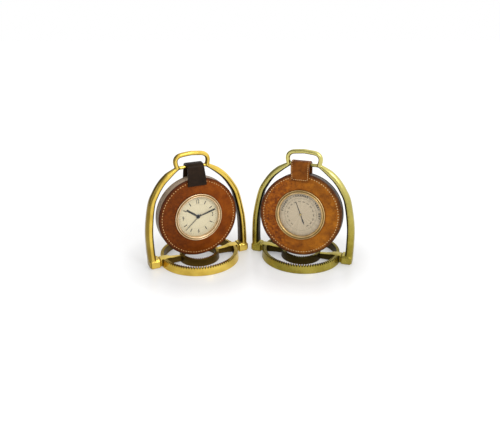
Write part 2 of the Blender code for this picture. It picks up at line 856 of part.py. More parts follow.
def build_clock_train(drum, places):
    level = clock_levels()
    minute_bore, minute_tube, hour_bore, hour_tube, _ = centre_radii()
    hands = hand_depths()
    motion_heading = places["motion_heading"]
    fifth_heading = places["fifth_heading"]
    centre = (0.0, 0.0, 0.0)
    pivot_front = level["inside"] + running_gap
    pivot_back = level["cover"] - running_gap
    gear_overlap = wheel_thick + running_gap

    hour_module = module_for(motion_centre_distance, hour_wheel_teeth, motion_pinion_teeth)
    cannon_module = module_for(motion_centre_distance, cannon_teeth, motion_wheel_teeth)
    seconds_module = module_for(train_centre_distance, seconds_wheel_teeth, fifth_pinion_teeth)
    fifth_module = module_for(rotor_centre_distance, fifth_wheel_teeth, rotor_pinion_teeth)

    hour_blank = ring_shape(hour_bore, hour_tube, hands["hour"][0], level["hour"] + wheel_thick,
                            small_steps)
    hour_wheel = geared("clock_hour_wheel", drum, centre, "white_plastic", hour_blank,
                        [(hour_wheel_teeth, hour_module, motion_heading, level["hour"],
                          level["hour"] + wheel_thick)])
    bore = disc_shape(hour_bore, level["hour"] - wheel_thick, level["hour"] + 2 * wheel_thick,
                      small_steps)
    boolean(hour_wheel, solid("clock_hour_bore_tool", bore, drum), "DIFFERENCE")

    cannon_blank = ring_shape(minute_bore, minute_tube, hands["minute"][0],
                              level["motion"] + wheel_thick, small_steps)
    cannon = geared("clock_cannon_pinion", drum, centre, "white_plastic", cannon_blank,
                    [(cannon_teeth, cannon_module, motion_heading, level["motion"],
                      level["motion"] + wheel_thick)])
    bore = disc_shape(minute_bore, level["motion"] - wheel_thick, level["motion"] + 2 * wheel_thick,
                      small_steps)
    boolean(cannon, solid("clock_cannon_bore_tool", bore, drum), "DIFFERENCE")

    x, z = places["motion"]
    knob_front = cover_step + running_gap
    motion_blank = stepped_shape([(arbor_radius, pivot_front, knob_front)], small_steps)
    geared("clock_motion_wheel", drum, (x, 0.0, z), "white_plastic", motion_blank,
           [(motion_pinion_teeth, hour_module, meshed(motion_heading, motion_pinion_teeth),
             level["hour"], level["hour"] + gear_overlap),
            (motion_wheel_teeth, cannon_module, meshed(motion_heading, motion_wheel_teeth),
             level["motion"], level["motion"] + wheel_thick)])
    knob_outline = []
    for flute in range(2 * knob_flutes):
        radius = knob_radius - (knob_flute_depth if flute % 2 else 0.0)
        angle = math.tau * flute / (2 * knob_flutes)
        knob_outline.append((radius * math.sin(angle), radius * math.cos(angle)))
    solid("clock_set_knob", plate_shape(knob_outline, knob_front + seam_gap, cover_back), drum,
          "black_plastic", location=(x, 0.0, z))

    seconds_blank = stepped_shape([(seconds_arbor_radius, hands["seconds"][1] + seam_gap, pivot_back)],
                                  small_steps)
    geared("clock_seconds_wheel", drum, centre, "steel", seconds_blank,
           [(seconds_wheel_teeth, seconds_module, fifth_heading, level["seconds"],
             level["seconds"] + wheel_thick)])
    x, z = places["fifth"]
    fifth_back = level["stator"] - running_gap
    fifth_blank = stepped_shape([(arbor_radius, pivot_front, fifth_back)], small_steps)
    geared("clock_fifth_wheel", drum, (x, 0.0, z), "white_plastic", fifth_blank,
           [(fifth_pinion_teeth, seconds_module, meshed(fifth_heading, fifth_pinion_teeth),
             level["seconds"], level["seconds"] + gear_overlap),
            (fifth_wheel_teeth, fifth_module, fifth_heading, level["fifth"],
             level["fifth"] + wheel_thick)])
    x, z = places["rotor"]
    rotor_blank = stepped_shape([(arbor_radius, pivot_front, level["magnet"]),
                                 (magnet_radius, level["magnet"], level["magnet"] + magnet_thick),
                                 (arbor_radius, level["magnet"] + magnet_thick, pivot_back)],
                                small_steps)
    geared("clock_rotor", drum, (x, 0.0, z), "steel", rotor_blank,
           [(rotor_pinion_teeth, fifth_module, meshed(fifth_heading, rotor_pinion_teeth),
             level["fifth"], level["fifth"] + wheel_thick)])


def build_clock_electrics(drum, places):
    level = clock_levels()
    cover = level["cover"]
    inner_half = movement_half_size - movement_wall - seam_gap
    cell_back = cover - seam_gap - contact_thick - seam_gap
    cell_front = cell_back - cell_thick
    cell_x = -(inner_half - cell_radius - seam_gap)
    cell_z = inner_half - cell_radius - seam_gap
    solid("clock_button_cell", disc_shape(cell_radius, cell_front, cell_back, medium_steps), drum,
          "steel", location=(cell_x, 0.0, cell_z))
    half = contact_width / 2
    for word, front in (("front", cell_front - seam_gap - contact_thick),
                        ("rear", cell_back + seam_gap)):
        solid(f"clock_{word}_contact",
              box_shape((cell_x - cell_radius, front, cell_z - half),
                        (cell_x + cell_radius, front + contact_thick, cell_z + half)),
              drum, "steel")

    board_back = cover - seam_gap
    board_low = movement_round / 2 - inner_half
    solid("clock_circuit_board",
          box_shape((board_low, board_back - board_thick, board_low),
                    (board_low + board_size, board_back, board_low + board_size)),
          drum, "green_board")

    x, z = places["rotor"]
    stator_front = level["stator"]
    stator = solid("clock_stator",
                   box_shape((x - stator_length / 2, stator_front, z - stator_width / 2),
                             (x + stator_length / 2, stator_front + stator_thick,
                              z + stator_width / 2)),
                   drum, "steel")
    hole = disc_shape(magnet_radius + running_gap, stator_front - overrun, stator_front + overrun,
                      medium_steps)
    boolean(stator, solid("clock_stator_hole_tool", hole, drum, location=(x, 0.0, z)), "DIFFERENCE")
    coil_z = z - stator_width / 2 - seam_gap - coil_radius
    coil_y = cover - seam_gap - coil_radius
    end = coil_length / 2
    flange = end - coil_flange
    wound = coil_radius - coil_flange / 2
    rings = []
    for along, radius in ((-end, coil_radius), (-flange, coil_radius), (-flange, wound),
                          (flange, wound), (flange, coil_radius), (end, coil_radius)):
        rings.append([(x + along, coil_y + across, coil_z + up)
                      for across, up in circle_points(radius, small_steps)])
    solid("clock_coil", lofted(rings), drum, "copper")


def build_clock(hang, drum):
    stand = clock
    rear_cover = build_drum(stand, hang, drum)
    build_dial(stand, drum, "cream_dial", stem_radius + seam_gap)
    places = arbor_places()
    x, z = places["motion"]
    hole = disc_shape(knob_radius + running_gap, cover_step, cover_back + overrun, medium_steps)
    boolean(rear_cover, solid("clock_knob_well_tool", hole, drum, location=(x, 0.0, z)),
            "DIFFERENCE")
    hole = disc_shape(arbor_radius + running_gap, cover_front - overrun, cover_back, small_steps)
    boolean(rear_cover, solid("clock_arbor_hole_tool", hole, drum, location=(x, 0.0, z)),
            "DIFFERENCE")
    build_movement_case(drum, places)
    build_clock_train(drum, places)
    build_clock_electrics(drum, places)

    _, minute_tube, _, hour_tube, _ = centre_radii()
    hands = hand_depths()
    hour_bore = hour_tube + press_gap
    minute_bore = minute_tube + press_gap
    build_hand("clock_hour_hand", drum, "navy_steel", shown_hour_turn, hands["hour"],
               hand_blade(hour_hand_length, hour_hand_width, hour_bore + hand_boss_width / 2,
                          hour_widest_share),
               hour_bore + hand_boss_width, hour_bore)
    build_hand("clock_minute_hand", drum, "navy_steel", shown_minute_turn, hands["minute"],
               hand_blade(minute_hand_length, minute_hand_width, minute_bore + hand_boss_width / 2,
                          minute_widest_share),
               minute_bore + hand_boss_width, minute_bore)
    build_hand("clock_seconds_hand", drum, "navy_steel", shown_seconds_turn, hands["seconds"],
               hand_blade(seconds_hand_length, seconds_hand_width, seconds_boss_radius / 2,
                          seconds_widest_share),
               seconds_boss_radius, 0.0)


# Barometer movement

def build_capsule(drum, base_front):
    rear = base_front - seam_gap
    front = rear - capsule_thick
    stud_front = front - stud_height
    profile = [(0.0, stud_front), (stud_radius, stud_front), (stud_radius, front)]
    count = 2 * capsule_waves
    for step in range(1, count + 1):
        radius = stud_radius + (capsule_radius - stud_radius) * step / (count + 1)
        profile.append((radius, front + (capsule_wave_height if step % 2 else 0.0)))
    profile += [(capsule_radius, front + capsule_thick / 3), (capsule_radius, rear - capsule_thick / 3),
                (capsule_radius - capsule_thick / 3, rear), (0.0, rear)]
    solid("barometer_capsule", turned(profile, medium_steps, closed=False), drum, "copper")
    return stud_front - seam_gap


def build_main_spring(drum, rear, base_front):
    """A bridge of spring steel over the capsule, with a finger that works the rocking shaft."""
    front = rear - spring_thick
    foot = base_front - seam_gap
    half = spring_half_span
    outline = [(-half, front), (half, front), (half, foot), (half - spring_leg, foot),
               (half - spring_leg, rear), (-half + spring_leg, rear), (-half + spring_leg, foot),
               (-half, foot)]
    shape = lofted([[(x, y, -spring_width / 2) for x, y in outline],
                    [(x, y, spring_width / 2) for x, y in outline]])
    spring = solid("barometer_main_spring", shape, drum, "steel")
    finger = box_shape((-finger_width / 2, front, -finger_reach), (finger_width / 2, rear, 0.0))
    boolean(spring, solid("barometer_finger_tool", finger, drum), "UNION")
    return front


def sector_module():
    return module_for(sector_centre_distance, sector_full_teeth, pinion_teeth)


def build_sector(drum, front):
    """The toothed sector. Its axis is straight below the pointer's."""
    rear = front + sector_thick
    turn = -pointer_from_top * pinion_teeth / sector_full_teeth
    pitch = math.tau / sector_full_teeth
    start = -pitch * (sector_teeth - 1) / 2
    rim = tooth_outline(sector_full_teeth, sector_module(), start, sector_teeth)
    root = (sector_full_teeth / 2 - root_depth_share) * sector_module()
    inside = root - sector_arm_width
    half_angle = -start + pitch / 2
    inner_edge = []
    count = 6
    for step in range(count + 1):
        angle = half_angle - 2 * half_angle * step / count
        inner_edge.append((inside * math.sin(angle), inside * math.cos(angle)))
    place = (0.0, 0.0, -sector_centre_distance)
    thing = solid("barometer_sector", plate_shape(rim + inner_edge, front, rear), drum, "pale_brass",
                  location=place, rotation=(0.0, turn, 0.0))
    arm_half = sector_arm_width / 2
    tail_end = rocker_height + rocker_radius * rocker_arm_share + running_gap + sector_centre_distance
    arm = plate_shape([(-arm_half, tail_end), (-arm_half, inside + arm_half),
                       (arm_half, inside + arm_half), (arm_half, tail_end)], front, rear)
    hub = disc_shape(sector_hub_radius, front - running_gap / 2, rear + running_gap / 2, small_steps)
    for word, shape in (("arm", arm), ("hub", hub)):
        boolean(thing, solid(f"barometer_sector_{word}_tool", shape, drum, location=place,
                             rotation=(0.0, turn, 0.0)), "UNION")
    bore = disc_shape(pointer_arbor_radius + running_gap, front - overrun, rear + overrun, small_steps)
    boolean(thing, solid("barometer_sector_bore_tool", bore, drum, location=place), "DIFFERENCE")


def build_rocker(drum, spring_front, sector_front, base_front):
    """The shaft that carries the spring's small stroke to the sector's tail, and its two posts."""
    y = spring_front + spring_thick + rocker_radius + running_gap
    rings = [[(x, y + across, rocker_height + up)
              for across, up in circle_points(rocker_radius, small_steps)]
             for x in (-rocker_half_length, rocker_half_length)]
    shaft = solid("barometer_rocking_shaft", lofted(rings), drum, "steel")
    half = rocker_arm_width / 2
    grip = rocker_radius * rocker_arm_share
    lift = box_shape((-half, y - grip, rocker_height),
                     (half, y + grip, -finger_reach + 2 * running_gap))
    push = box_shape((crank_offset - half, sector_front, rocker_height - grip),
                     (crank_offset + half, y, rocker_height + grip))
    for word, shape in (("lift", lift), ("push", push)):
        boolean(shaft, solid(f"barometer_rocker_{word}_tool", shape, drum), "UNION")

    reach_end = rocker_half_length + running_gap
    for side, word in ((-1, "left"), (1, "right")):
        near = side * (rocker_half_length - post_size / 2)
        far = side * (rocker_half_length + post_size / 2)
        low = (min(near, far), y - rocker_radius - post_size / 4, rocker_height - post_size / 2)
        high = (max(near, far), base_front - seam_gap, rocker_height + post_size / 2)
        post = solid(f"barometer_shaft_post_{word}", box_shape(low, high), drum, "pale_brass")
        rings = [[(x, y + across, rocker_height + up)
                  for across, up in circle_points(rocker_radius + running_gap, small_steps)]
                 for x in (0.0, side * reach_end)]
        boolean(post, solid(f"barometer_post_bore_tool_{word}", lofted(rings), drum), "DIFFERENCE")


def build_pinion_arbor(drum, sector_front, spring_front, hand_back):
    """Pinion and arbor on the pointer's axis, from behind the sector to the pointer's boss."""
    turn = pointer_from_top
    blank = stepped_shape([(pointer_arbor_radius, hand_back + seam_gap,
                            spring_front - running_gap)], small_steps)
    thing = solid("barometer_pinion_arbor", blank, drum, "steel", rotation=(0.0, turn, 0.0))
    teeth = plate_shape(tooth_outline(pinion_teeth, sector_module(), math.pi / pinion_teeth + math.pi),
                        sector_front - running_gap / 3, sector_front + sector_thick + running_gap / 3)
    boolean(thing, solid("barometer_pinion_tool", teeth, drum, rotation=(0.0, turn, 0.0)), "UNION")


def build_hairspring(drum, plate_front):
    """A flat spiral between the dial and the top plate."""
    front = plate_front - seam_gap - hairspring_height
    centre_line = []
    for step in range(small_steps * hairspring_turns + 1):
        turns = step / small_steps
        centre_line.append((hairspring_inner_radius + hairspring_pitch * turns, math.tau * turns))
    rings = []
    for radius, angle in centre_line:
        ring = []
        for across, y in ((-0.5, front), (0.5, front), (0.5, front + hairspring_height),
                          (-0.5, front + hairspring_height)):
            r = radius + across * hairspring_thick
            ring.append((r * math.sin(angle), y, r * math.cos(angle)))
        rings.append(ring)
    solid("barometer_hairspring", lofted(rings), drum, "navy_steel")


def build_top_plate(drum, front, base_front):
    """The bar in front of the sector that carries the arbor, on two pillars from the base plate."""
    rear = front + top_plate_thick
    half = top_plate_width / 2
    pillar_x = spring_half_span + pillar_radius + 2 * seam_gap
    corner = half / 3
    top = 2 * corner
    waist = -5 * corner
    bottom = -sector_centre_distance - sector_hub_radius - corner
    outline = [(-pillar_x - pillar_radius, -corner), (-pillar_x - pillar_radius, corner),
               (-half, top), (half, top), (pillar_x + pillar_radius, corner),
               (pillar_x + pillar_radius, -corner), (corner, waist), (corner, bottom),
               (-corner, bottom), (-corner, waist)]
    plate = solid("barometer_top_plate", plate_shape(outline, front, rear), drum, "pale_brass")
    for side, word in ((-1, "left"), (1, "right")):
        pillar = disc_shape(pillar_radius, front + top_plate_thick / 2, base_front - seam_gap,
                            small_steps)
        boolean(plate, solid("barometer_pillar_tool_" + word, pillar, drum,
                             location=(side * pillar_x, 0.0, 0.0)), "UNION")
    pin = disc_shape(pointer_arbor_radius, front + top_plate_thick / 2,
                     rear + running_gap + sector_thick + running_gap, small_steps)
    boolean(plate, solid("barometer_sector_pin_tool", pin, drum,
                         location=(0.0, 0.0, -sector_centre_distance)), "UNION")
    bore = disc_shape(pointer_arbor_radius + running_gap, front - top_plate_thick,
                      rear + top_plate_thick, small_steps)
    boolean(plate, solid("barometer_plate_bore_tool", bore, drum), "DIFFERENCE")


def build_barometer(hang, drum):
    stand = barometer
    rear_cover = build_drum(stand, hang, drum)
    build_dial(stand, drum, "silver_dial", pointer_arbor_radius + running_gap)
    inner = cup_inner(stand)
    base_front = movement_back - movement_wall
    base = solid("barometer_base_plate",
                 disc_shape(inner - seam_gap, base_front, movement_back, inner_steps),
                 drum, "pale_brass")
    spring_rear = build_capsule(drum, base_front)
    spring_front = build_main_spring(drum, spring_rear, base_front)
    sector_front = spring_front - running_gap - sector_thick
    plate_front = sector_front - running_gap - top_plate_thick
    build_sector(drum, sector_front)
    build_rocker(drum, spring_front, sector_front, base_front)
    hand_back = dial_front - hand_gap
    build_pinion_arbor(drum, sector_front, spring_front, hand_back)
    build_hairspring(drum, plate_front)
    build_top_plate(drum, plate_front, base_front)

    place = (0.0, 0.0, -adjuster_drop)
    stem = stepped_shape([(adjuster_radius / 2, base_front, movement_back + seam_gap),
                          (adjuster_radius, movement_back + seam_gap, cover_back)], small_steps)
    screw = solid("barometer_adjusting_screw", stem, drum, "pale_brass", location=place)
    slot = box_shape((-overrun, cover_back - adjuster_slot, -adjuster_slot / 2),
                     (overrun, cover_back + overrun, adjuster_slot / 2))
    boolean(screw, solid("barometer_screw_slot_tool", slot, drum, location=place), "DIFFERENCE")
    hole = disc_shape(adjuster_radius / 2 + running_gap, base_front - overrun,
                      movement_back + overrun, small_steps)
    boolean(base, solid("barometer_screw_hole_tool", hole, drum, location=place), "DIFFERENCE")
    hole = disc_shape(adjuster_hole_radius, cover_front - overrun, cover_back + overrun, medium_steps)
    boolean(rear_cover, solid("barometer_screw_well_tool", hole, drum, location=place), "DIFFERENCE")

    front = hand_back - hand_thick
    waist = pointer_width / 2
    spear = pointer_tail_width / 2
    spear_start = -pointer_tail * spear_start_share
    spear_widest = -pointer_tail * spear_widest_share
    blade = [(-waist, pointer_boss_radius), (0.0, pointer_tip), (waist, pointer_boss_radius),
             (waist, spear_start), (spear, spear_widest), (0.0, -pointer_tail),
             (-spear, spear_widest), (-waist, spear_start)]
    build_hand("barometer_pointer", drum, "navy_steel", pointer_from_top, (front, hand_back), blade,
               pointer_boss_radius, 0.0)


# Assembly

def build_stand(stand, pair):
    """The frames that the pieces hang in: the stand, the bar that the strap hangs from, the drum."""
    name = stand["name"]
    place = (stand["side"] * (foot_half_span() + stand["side_step"]), stand["back_step"], 0.0)
    base = empty(name + "_stand", pair, place, (0.0, 0.0, stand["yaw"]))
    build_stirrup(stand, base)
    hang = empty(name + "_hang", base, (stand["drum_shift"], 0.0, bar_height()),
                 (stand["tilt"], 0.0, 0.0))
    drum = empty(name + "_drum", hang, (0.0, 0.0, -drum_drop(stand)))
    return hang, drum


def centre_pair(pair):
    """Moves the pair so that the middle of its box stands over the origin."""
    bpy.context.view_layer.update()
    graph = bpy.context.evaluated_depsgraph_get()
    low = [math.inf] * 2
    high = [-math.inf] * 2
    for thing in bpy.context.scene.objects:
        if thing.type != "MESH" or thing.hide_render:
            continue
        shown = thing.evaluated_get(graph)
        for vertex in shown.data.vertices:
            point = shown.matrix_world @ vertex.co
            for axis in range(2):
                low[axis] = min(low[axis], point[axis])
                high[axis] = max(high[axis], point[axis])
    pair.location = (-(low[0] + high[0]) / 2, -(low[1] + high[1]) / 2, 0.0)
    bpy.context.view_layer.update()


def main():
    clear_scene()
    pair = empty("pair")
    build_clock(*build_stand(clock, pair))
    build_barometer(*build_stand(barometer, pair))
    centre_pair(pair)


main()
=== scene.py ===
"""Looks of the barometer clock: a desk clock and an aneroid barometer that hang in brass stirrups."""
import math
import random

import bmesh
import bpy
from mathutils import Matrix, Vector


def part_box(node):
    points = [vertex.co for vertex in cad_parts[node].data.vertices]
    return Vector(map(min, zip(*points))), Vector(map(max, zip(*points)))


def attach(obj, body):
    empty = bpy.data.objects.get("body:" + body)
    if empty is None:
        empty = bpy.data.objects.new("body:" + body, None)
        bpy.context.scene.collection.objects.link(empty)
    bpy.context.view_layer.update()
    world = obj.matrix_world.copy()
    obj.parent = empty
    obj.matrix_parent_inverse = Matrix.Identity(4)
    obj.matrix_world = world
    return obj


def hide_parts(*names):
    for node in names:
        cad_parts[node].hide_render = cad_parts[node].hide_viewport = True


mm = 0.001

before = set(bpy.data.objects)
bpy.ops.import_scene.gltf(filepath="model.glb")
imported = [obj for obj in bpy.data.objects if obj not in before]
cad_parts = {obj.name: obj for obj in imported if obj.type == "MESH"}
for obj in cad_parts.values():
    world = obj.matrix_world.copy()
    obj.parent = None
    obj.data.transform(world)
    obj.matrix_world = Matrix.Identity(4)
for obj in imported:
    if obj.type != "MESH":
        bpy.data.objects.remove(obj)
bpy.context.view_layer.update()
chance = random.Random(7)


# Stirrup sizes

bar_height = 129.7 * mm
bar_radius = 2.2 * mm
bar_half_length = 16.6 * mm
branch_half_span = 65.0 * mm
branch_thick = (10.4 * mm, 8.0 * mm)
branch_depth = (17.0 * mm, 9.0 * mm)
eye_top = 147.1 * mm
eye_half_width = 21.7 * mm
eye_thick = 5.8 * mm
eye_depth = 6.4 * mm
eye_facet_share = 0.35
foot_outer = 70.1 * mm
foot_inner = 54.5 * mm
foot_depth = 17.2 * mm
foot_height = 12.0 * mm
foot_round = 1.7 * mm
casting_voxel = 0.48 * mm
casting_smoothing = 12
tooth_chamfer = 0.35 * mm
crossbar_start = foot_inner + 0.5 * mm
crossbar_end = 24.4 * mm
crossbar_underside = 1.5 * mm
crossbar_under_round = 0.6 * mm
crossbar_top_round = 1.1 * mm
outer_ring = {"radius": 53.6 * mm, "draft": 1.8 * mm, "width": 4.4 * mm, "foot_width": 6.6 * mm,
              "notch": 8.9 * mm, "tip": 10.9 * mm, "teeth": 94}
inner_ring = {"radius": 27.0 * mm, "draft": 0.7 * mm, "width": 4.0 * mm, "foot_width": 5.2 * mm,
              "notch": 9.0 * mm, "tip": 10.5 * mm, "teeth": 58}


# Drum sizes. The drum's axis runs along Y and its front is at the smaller Y.

face = -8.25 * mm
back = 8.25 * mm
leather_thick = 2.0 * mm
hide_edge = 1.3 * mm
hide_gap = 0.3 * mm
hide_slope = 3.0 * mm
rear_hole = 24.0 * mm
groove_half = 1.3 * mm
groove_reach = 2.2 * groove_half
groove_depth = 0.35 * mm
groove_pull = 0.22 * mm
steps_per_stitch = 6
band_thick = 1.6 * mm
band_crown = 0.35 * mm
band_shoulder = 0.5 * mm
stitch_thick = 0.50 * mm
stitch_rise = 0.14 * mm
strap_thick = 2.6 * mm
strap_overlap = 9.6 * mm
strap_gap = 0.3 * mm
strap_round = 0.8 * mm
strap_stitch_pitch = 2.6 * mm
strap_stitch_length = 0.72 * strap_stitch_pitch
strap_stitch_inset = 1.7 * mm
strap_stitch_thick = 0.30 * mm
strap_stitch_sink = 0.08 * mm
core_front = -5.95 * mm
core_back = 5.95 * mm
bezel_front = -10.25 * mm
bezel_lip_thick = 1.2 * mm
bezel_wall = 1.7 * mm
dial_margin = 3.3 * mm
dial_front = -5.35 * mm
dial_thick = 0.5 * mm
cup_front = -7.25 * mm
seam = 0.3 * mm
fine_steps = 160
medium_steps = 128
hand_thick = 0.25 * mm
print_front = dial_front - 0.015 * mm
print_half = 0.012 * mm
same_place = 0.0005 * mm
square = ((-1, -1), (1, -1), (1, 1), (-1, 1))

# The two stands. Angles are in degrees, and lean is a shift sideways in shares of the height.
# Widths and shifts of the strap are given at its lower end and at the bar.
clock = {
    "name": "clock", "yaw": 25.4, "tilt": 0.0, "lean": -0.034, "shift": -1.5 * mm,
    "eye_shift": -0.6 * mm, "drop": 67.2 * mm, "radius": 53.4 * mm, "bezel": 32.1 * mm,
    "lip": 27.7 * mm, "strap_widths": (25.4 * mm, 21.8 * mm), "strap_shifts": (-1.0 * mm, -1.3 * mm),
    "stitch_radius": 49.2 * mm, "stitches": 84, "sewn_strap": False,
    "dial_look": "cream_dial", "dial_hole": 3.1 * mm,
}
barometer = {
    "name": "barometer", "yaw": -19.4, "tilt": -8.0, "lean": 0.0, "shift": 0.5 * mm,
    "eye_shift": -0.9 * mm, "drop": 65.0 * mm, "radius": 54.1 * mm, "bezel": 32.9 * mm,
    "lip": 28.3 * mm, "strap_widths": (23.4 * mm, 24.6 * mm), "strap_shifts": (-2.9 * mm, -4.4 * mm),
    "stitch_radius": 49.6 * mm, "stitches": 90, "sewn_strap": True,
    "dial_look": "silver_dial", "dial_hole": 0.75 * mm,
}
for stand in (clock, barometer):
    low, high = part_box(stand["name"] + "_tread")
    middle = (low + high) / 2
    stand["base"] = (Matrix.Translation((middle.x, middle.y, 0.0))
                     @ Matrix.Rotation(math.radians(stand["yaw"]), 4, "Z"))
    stand["hang"] = (stand["base"] @ Matrix.Translation((stand["shift"], 0.0, bar_height))
                     @ Matrix.Rotation(math.radians(stand["tilt"]), 4, "X"))
    stand["drum"] = stand["hang"] @ Matrix.Translation((0.0, 0.0, -stand["drop"]))


def add_object(name, data):
    thing = bpy.data.objects.new(name, data)
    bpy.context.scene.collection.objects.link(thing)
    return thing


# Camera

clock_place = Vector((-68.9 * mm, -19.6 * mm, 0.0))
camera_away = 638.1 * mm
camera_height = 307.6 * mm
camera_tilt = math.radians(68.83)
low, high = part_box("clock_tread")
shift = (low + high) / 2 - clock_place
camera_data = bpy.data.cameras.new("camera")
camera_data.lens = 36.27
camera_data.sensor_width = 36.0
camera = add_object("camera", camera_data)
camera.location = (shift.x, shift.y - camera_away, camera_height)
camera.rotation_euler = (camera_tilt, 0.0, 0.0)
bpy.context.scene.camera = camera


# Materials

drawn_at = "drawn_at"
white = (1.0, 1.0, 1.0)
looks = {}


class Nodes:
    """A short way to build the nodes of a material or of the world."""

    def __init__(self, tree):
        self.tree = tree
        self.source = self.add("ShaderNodeTexCoord").outputs
        self.place = self.source["Object"]

    def add(self, kind, inputs=None, **settings):
        node = self.tree.nodes.new(kind)
        for key, value in settings.items():
            setattr(node, key, value)
        for socket, value in (inputs or {}).items():
            self.put(node, socket, value)
        return node

    def put(self, node, socket, value):
        """Sets or links an input. A colour may leave out its alpha."""
        if isinstance(value, bpy.types.NodeSocket):
            self.tree.links.new(value, node.inputs[socket])
        elif isinstance(value, tuple) and node.inputs[socket].type == "RGBA":
            node.inputs[socket].default_value = (*value, 1.0)
        else:
            node.inputs[socket].default_value = value

    def noise(self, scale, detail=4.0, roughness=0.55, distortion=0.0, at=None):
        return self.add("ShaderNodeTexNoise", {
            "Vector": at or self.place, "Scale": scale, "Detail": detail, "Roughness": roughness,
            "Distortion": distortion}).outputs["Fac"]

    def streaks(self, along, scale, detail=2.0):
        """Noise that only varies along one value."""
        return self.add("ShaderNodeTexNoise", {"W": along, "Scale": scale, "Detail": detail},
                        noise_dimensions="1D").outputs["Fac"]

    def cracks(self, scale):
        """Distance from the edges of small cells."""
        return self.add("ShaderNodeTexVoronoi", {"Vector": self.place, "Scale": scale},
                        feature="DISTANCE_TO_EDGE").outputs["Distance"]

    def ramp(self, value, stops):
        node = self.add("ShaderNodeValToRGB", {"Fac": value})
        while len(node.color_ramp.elements) < len(stops):
            node.color_ramp.elements.new(0.5)
        for element, (at, colour) in zip(node.color_ramp.elements, stops):
            element.position = at
            element.color = (*colour, 1.0)
        return node.outputs["Color"]

    def span(self, value, low, high, to_low=0.0, to_high=1.0):
        """Moves a value from one range to another and keeps it there."""
        return self.add("ShaderNodeMapRange", {
            "Value": value, "From Min": low, "From Max": high, "To Min": to_low,
            "To Max": to_high}).outputs["Result"]

    def math(self, operation, first, second=0.0):
        return self.add("ShaderNodeMath", {0: first, 1: second}, operation=operation).outputs["Value"]

    def reach(self, first, second):
        """The length of a pair of values."""
        squares = [self.math("POWER", value, 2.0) for value in (first, second)]
        return self.math("SQRT", self.math("ADD", *squares))

    def mixed(self, share, first, second, blend="MIX"):
        return self.add("ShaderNodeMix", {0: share, 6: first, 7: second}, data_type="RGBA",
                        blend_type=blend).outputs[2]

    def either(self, share, first, second):
        """A shader between two others."""
        return self.add("ShaderNodeMixShader", {0: share, 1: first, 2: second}).outputs["Shader"]

    def bump(self, height, distance, strength=1.0, after=None):
        inputs = {"Height": height, "Distance": distance, "Strength": strength}
        if after is not None:
            inputs["Normal"] = after
        return self.add("ShaderNodeBump", inputs).outputs["Normal"]

    def parts(self, vector):
        return self.add("ShaderNodeSeparateXYZ", {"Vector": vector}).outputs


class Look(Nodes):
    """The nodes of a new material. In a drawn piece, places are those at which it was drawn."""

    def __init__(self, name, drawn=False):
        material = bpy.data.materials.new(name)
        material.use_nodes = True
        super().__init__(material.node_tree)
        self.shader = self.tree.nodes["Principled BSDF"]
        self.output = self.tree.nodes["Material Output"]
        looks[name] = material
        if drawn:
            self.place = self.add("ShaderNodeAttribute", attribute_name=drawn_at).outputs["Vector"]

    def facing(self, stand):
        """Which way the surface faces, in the stand's own axes."""
        inputs = {"Vector": self.source["Normal"], "Angle": -math.radians(stand["yaw"])}
        turned = self.add("ShaderNodeVectorRotate", inputs, rotation_type="Z_AXIS")
        return self.parts(turned.outputs["Vector"])

    def radius(self):
        """Distance from the drum's axis, for a piece drawn in the drum's frame."""
        place = self.parts(self.place)
        return self.reach(place["X"], place["Z"])

    def heading(self):
        """Angle round the drum's axis."""
        place = self.parts(self.place)
        return self.math("ARCTAN2", place["X"], place["Z"])

    def finish(self, **inputs):
        for socket, value in inputs.items():
            self.put(self.shader, socket.replace("_", " "), value)


def outward(n, first, second, first_facing, second_facing):
    """Distance from an axis, and how far the surface faces away from it, from -1 to 1."""
    reach = n.reach(first, second)
    along = n.math("ADD", n.math("MULTIPLY", first, first_facing),
                   n.math("MULTIPLY", second, second_facing))
    return reach, n.math("DIVIDE", along, reach)


def arch_tarnish(n, stand):
    """Dark where an arch's wall faces the drum: painted shade and a painted reflection of the dark drum,
    with some patina where polish doesn't reach.
    """
    arch_middle = 65.0 * mm
    crown_fade = (125.0 * mm, 134.0 * mm)
    foot_fade = (12.4 * mm, 14.5 * mm)
    place = n.parts(n.place)
    facing = n.facing(stand)
    rise = n.math("SUBTRACT", place["Z"], arch_middle)
    away = outward(n, place["X"], rise, facing["X"], facing["Z"])[1]
    inner = n.span(away, -0.35, -0.65)
    above = n.span(place["Z"], *crown_fade, 1.0, 0.45)
    foot = n.span(place["Z"], *foot_fade)
    return n.math("MULTIPLY", inner, n.math("MULTIPLY", above, foot))


def clock_arch_tarnish(n, stand):
    """The clock's arch also gets painted shade on its left wall, the side that mirrors the darker left,
    away from the light.
    """
    left = n.span(n.facing(stand)["X"], -0.30, -0.60, 0.0, 0.66)
    return n.math("MAXIMUM", left, arch_tarnish(n, stand))


def tread_tarnish(n, stand):
    """Painted shade with some patina: dark on a tread's steep walls, with painted shadow between its
    teeth. Its outer wall and its top stay bright.
    """
    wall_start = (50.0 * mm, 50.8 * mm)
    foot_start = (54.0 * mm, 54.6 * mm)
    top_start = (46.8 * mm, 47.4 * mm)
    top_end = (51.6 * mm, 52.1 * mm)
    notch_rise = (9.7 * mm, 10.3 * mm)
    place = n.parts(n.place)
    facing = n.facing(stand)
    reach, away = outward(n, place["X"], place["Y"], facing["X"], facing["Y"])
    outer_wall = n.math("MULTIPLY", n.span(reach, *wall_start), n.span(away, 0.2, 0.5))
    outer_wall = n.math("MAXIMUM", outer_wall, n.span(reach, *foot_start))
    # Steep walls get painted shade, and the notches between the teeth a painted shadow
    steep = n.span(facing["Z"], 0.86, 0.66)
    on_top = n.math("MULTIPLY", n.span(reach, *top_start), n.span(reach, *top_end, 1.0, 0.0))
    notch = n.math("MULTIPLY", n.span(place["Z"], *notch_rise, 1.0, 0.0), on_top)
    dark = n.math("MAXIMUM", steep, notch)
    return n.math("MULTIPLY", dark, n.math("SUBTRACT", 1.0, outer_wall))


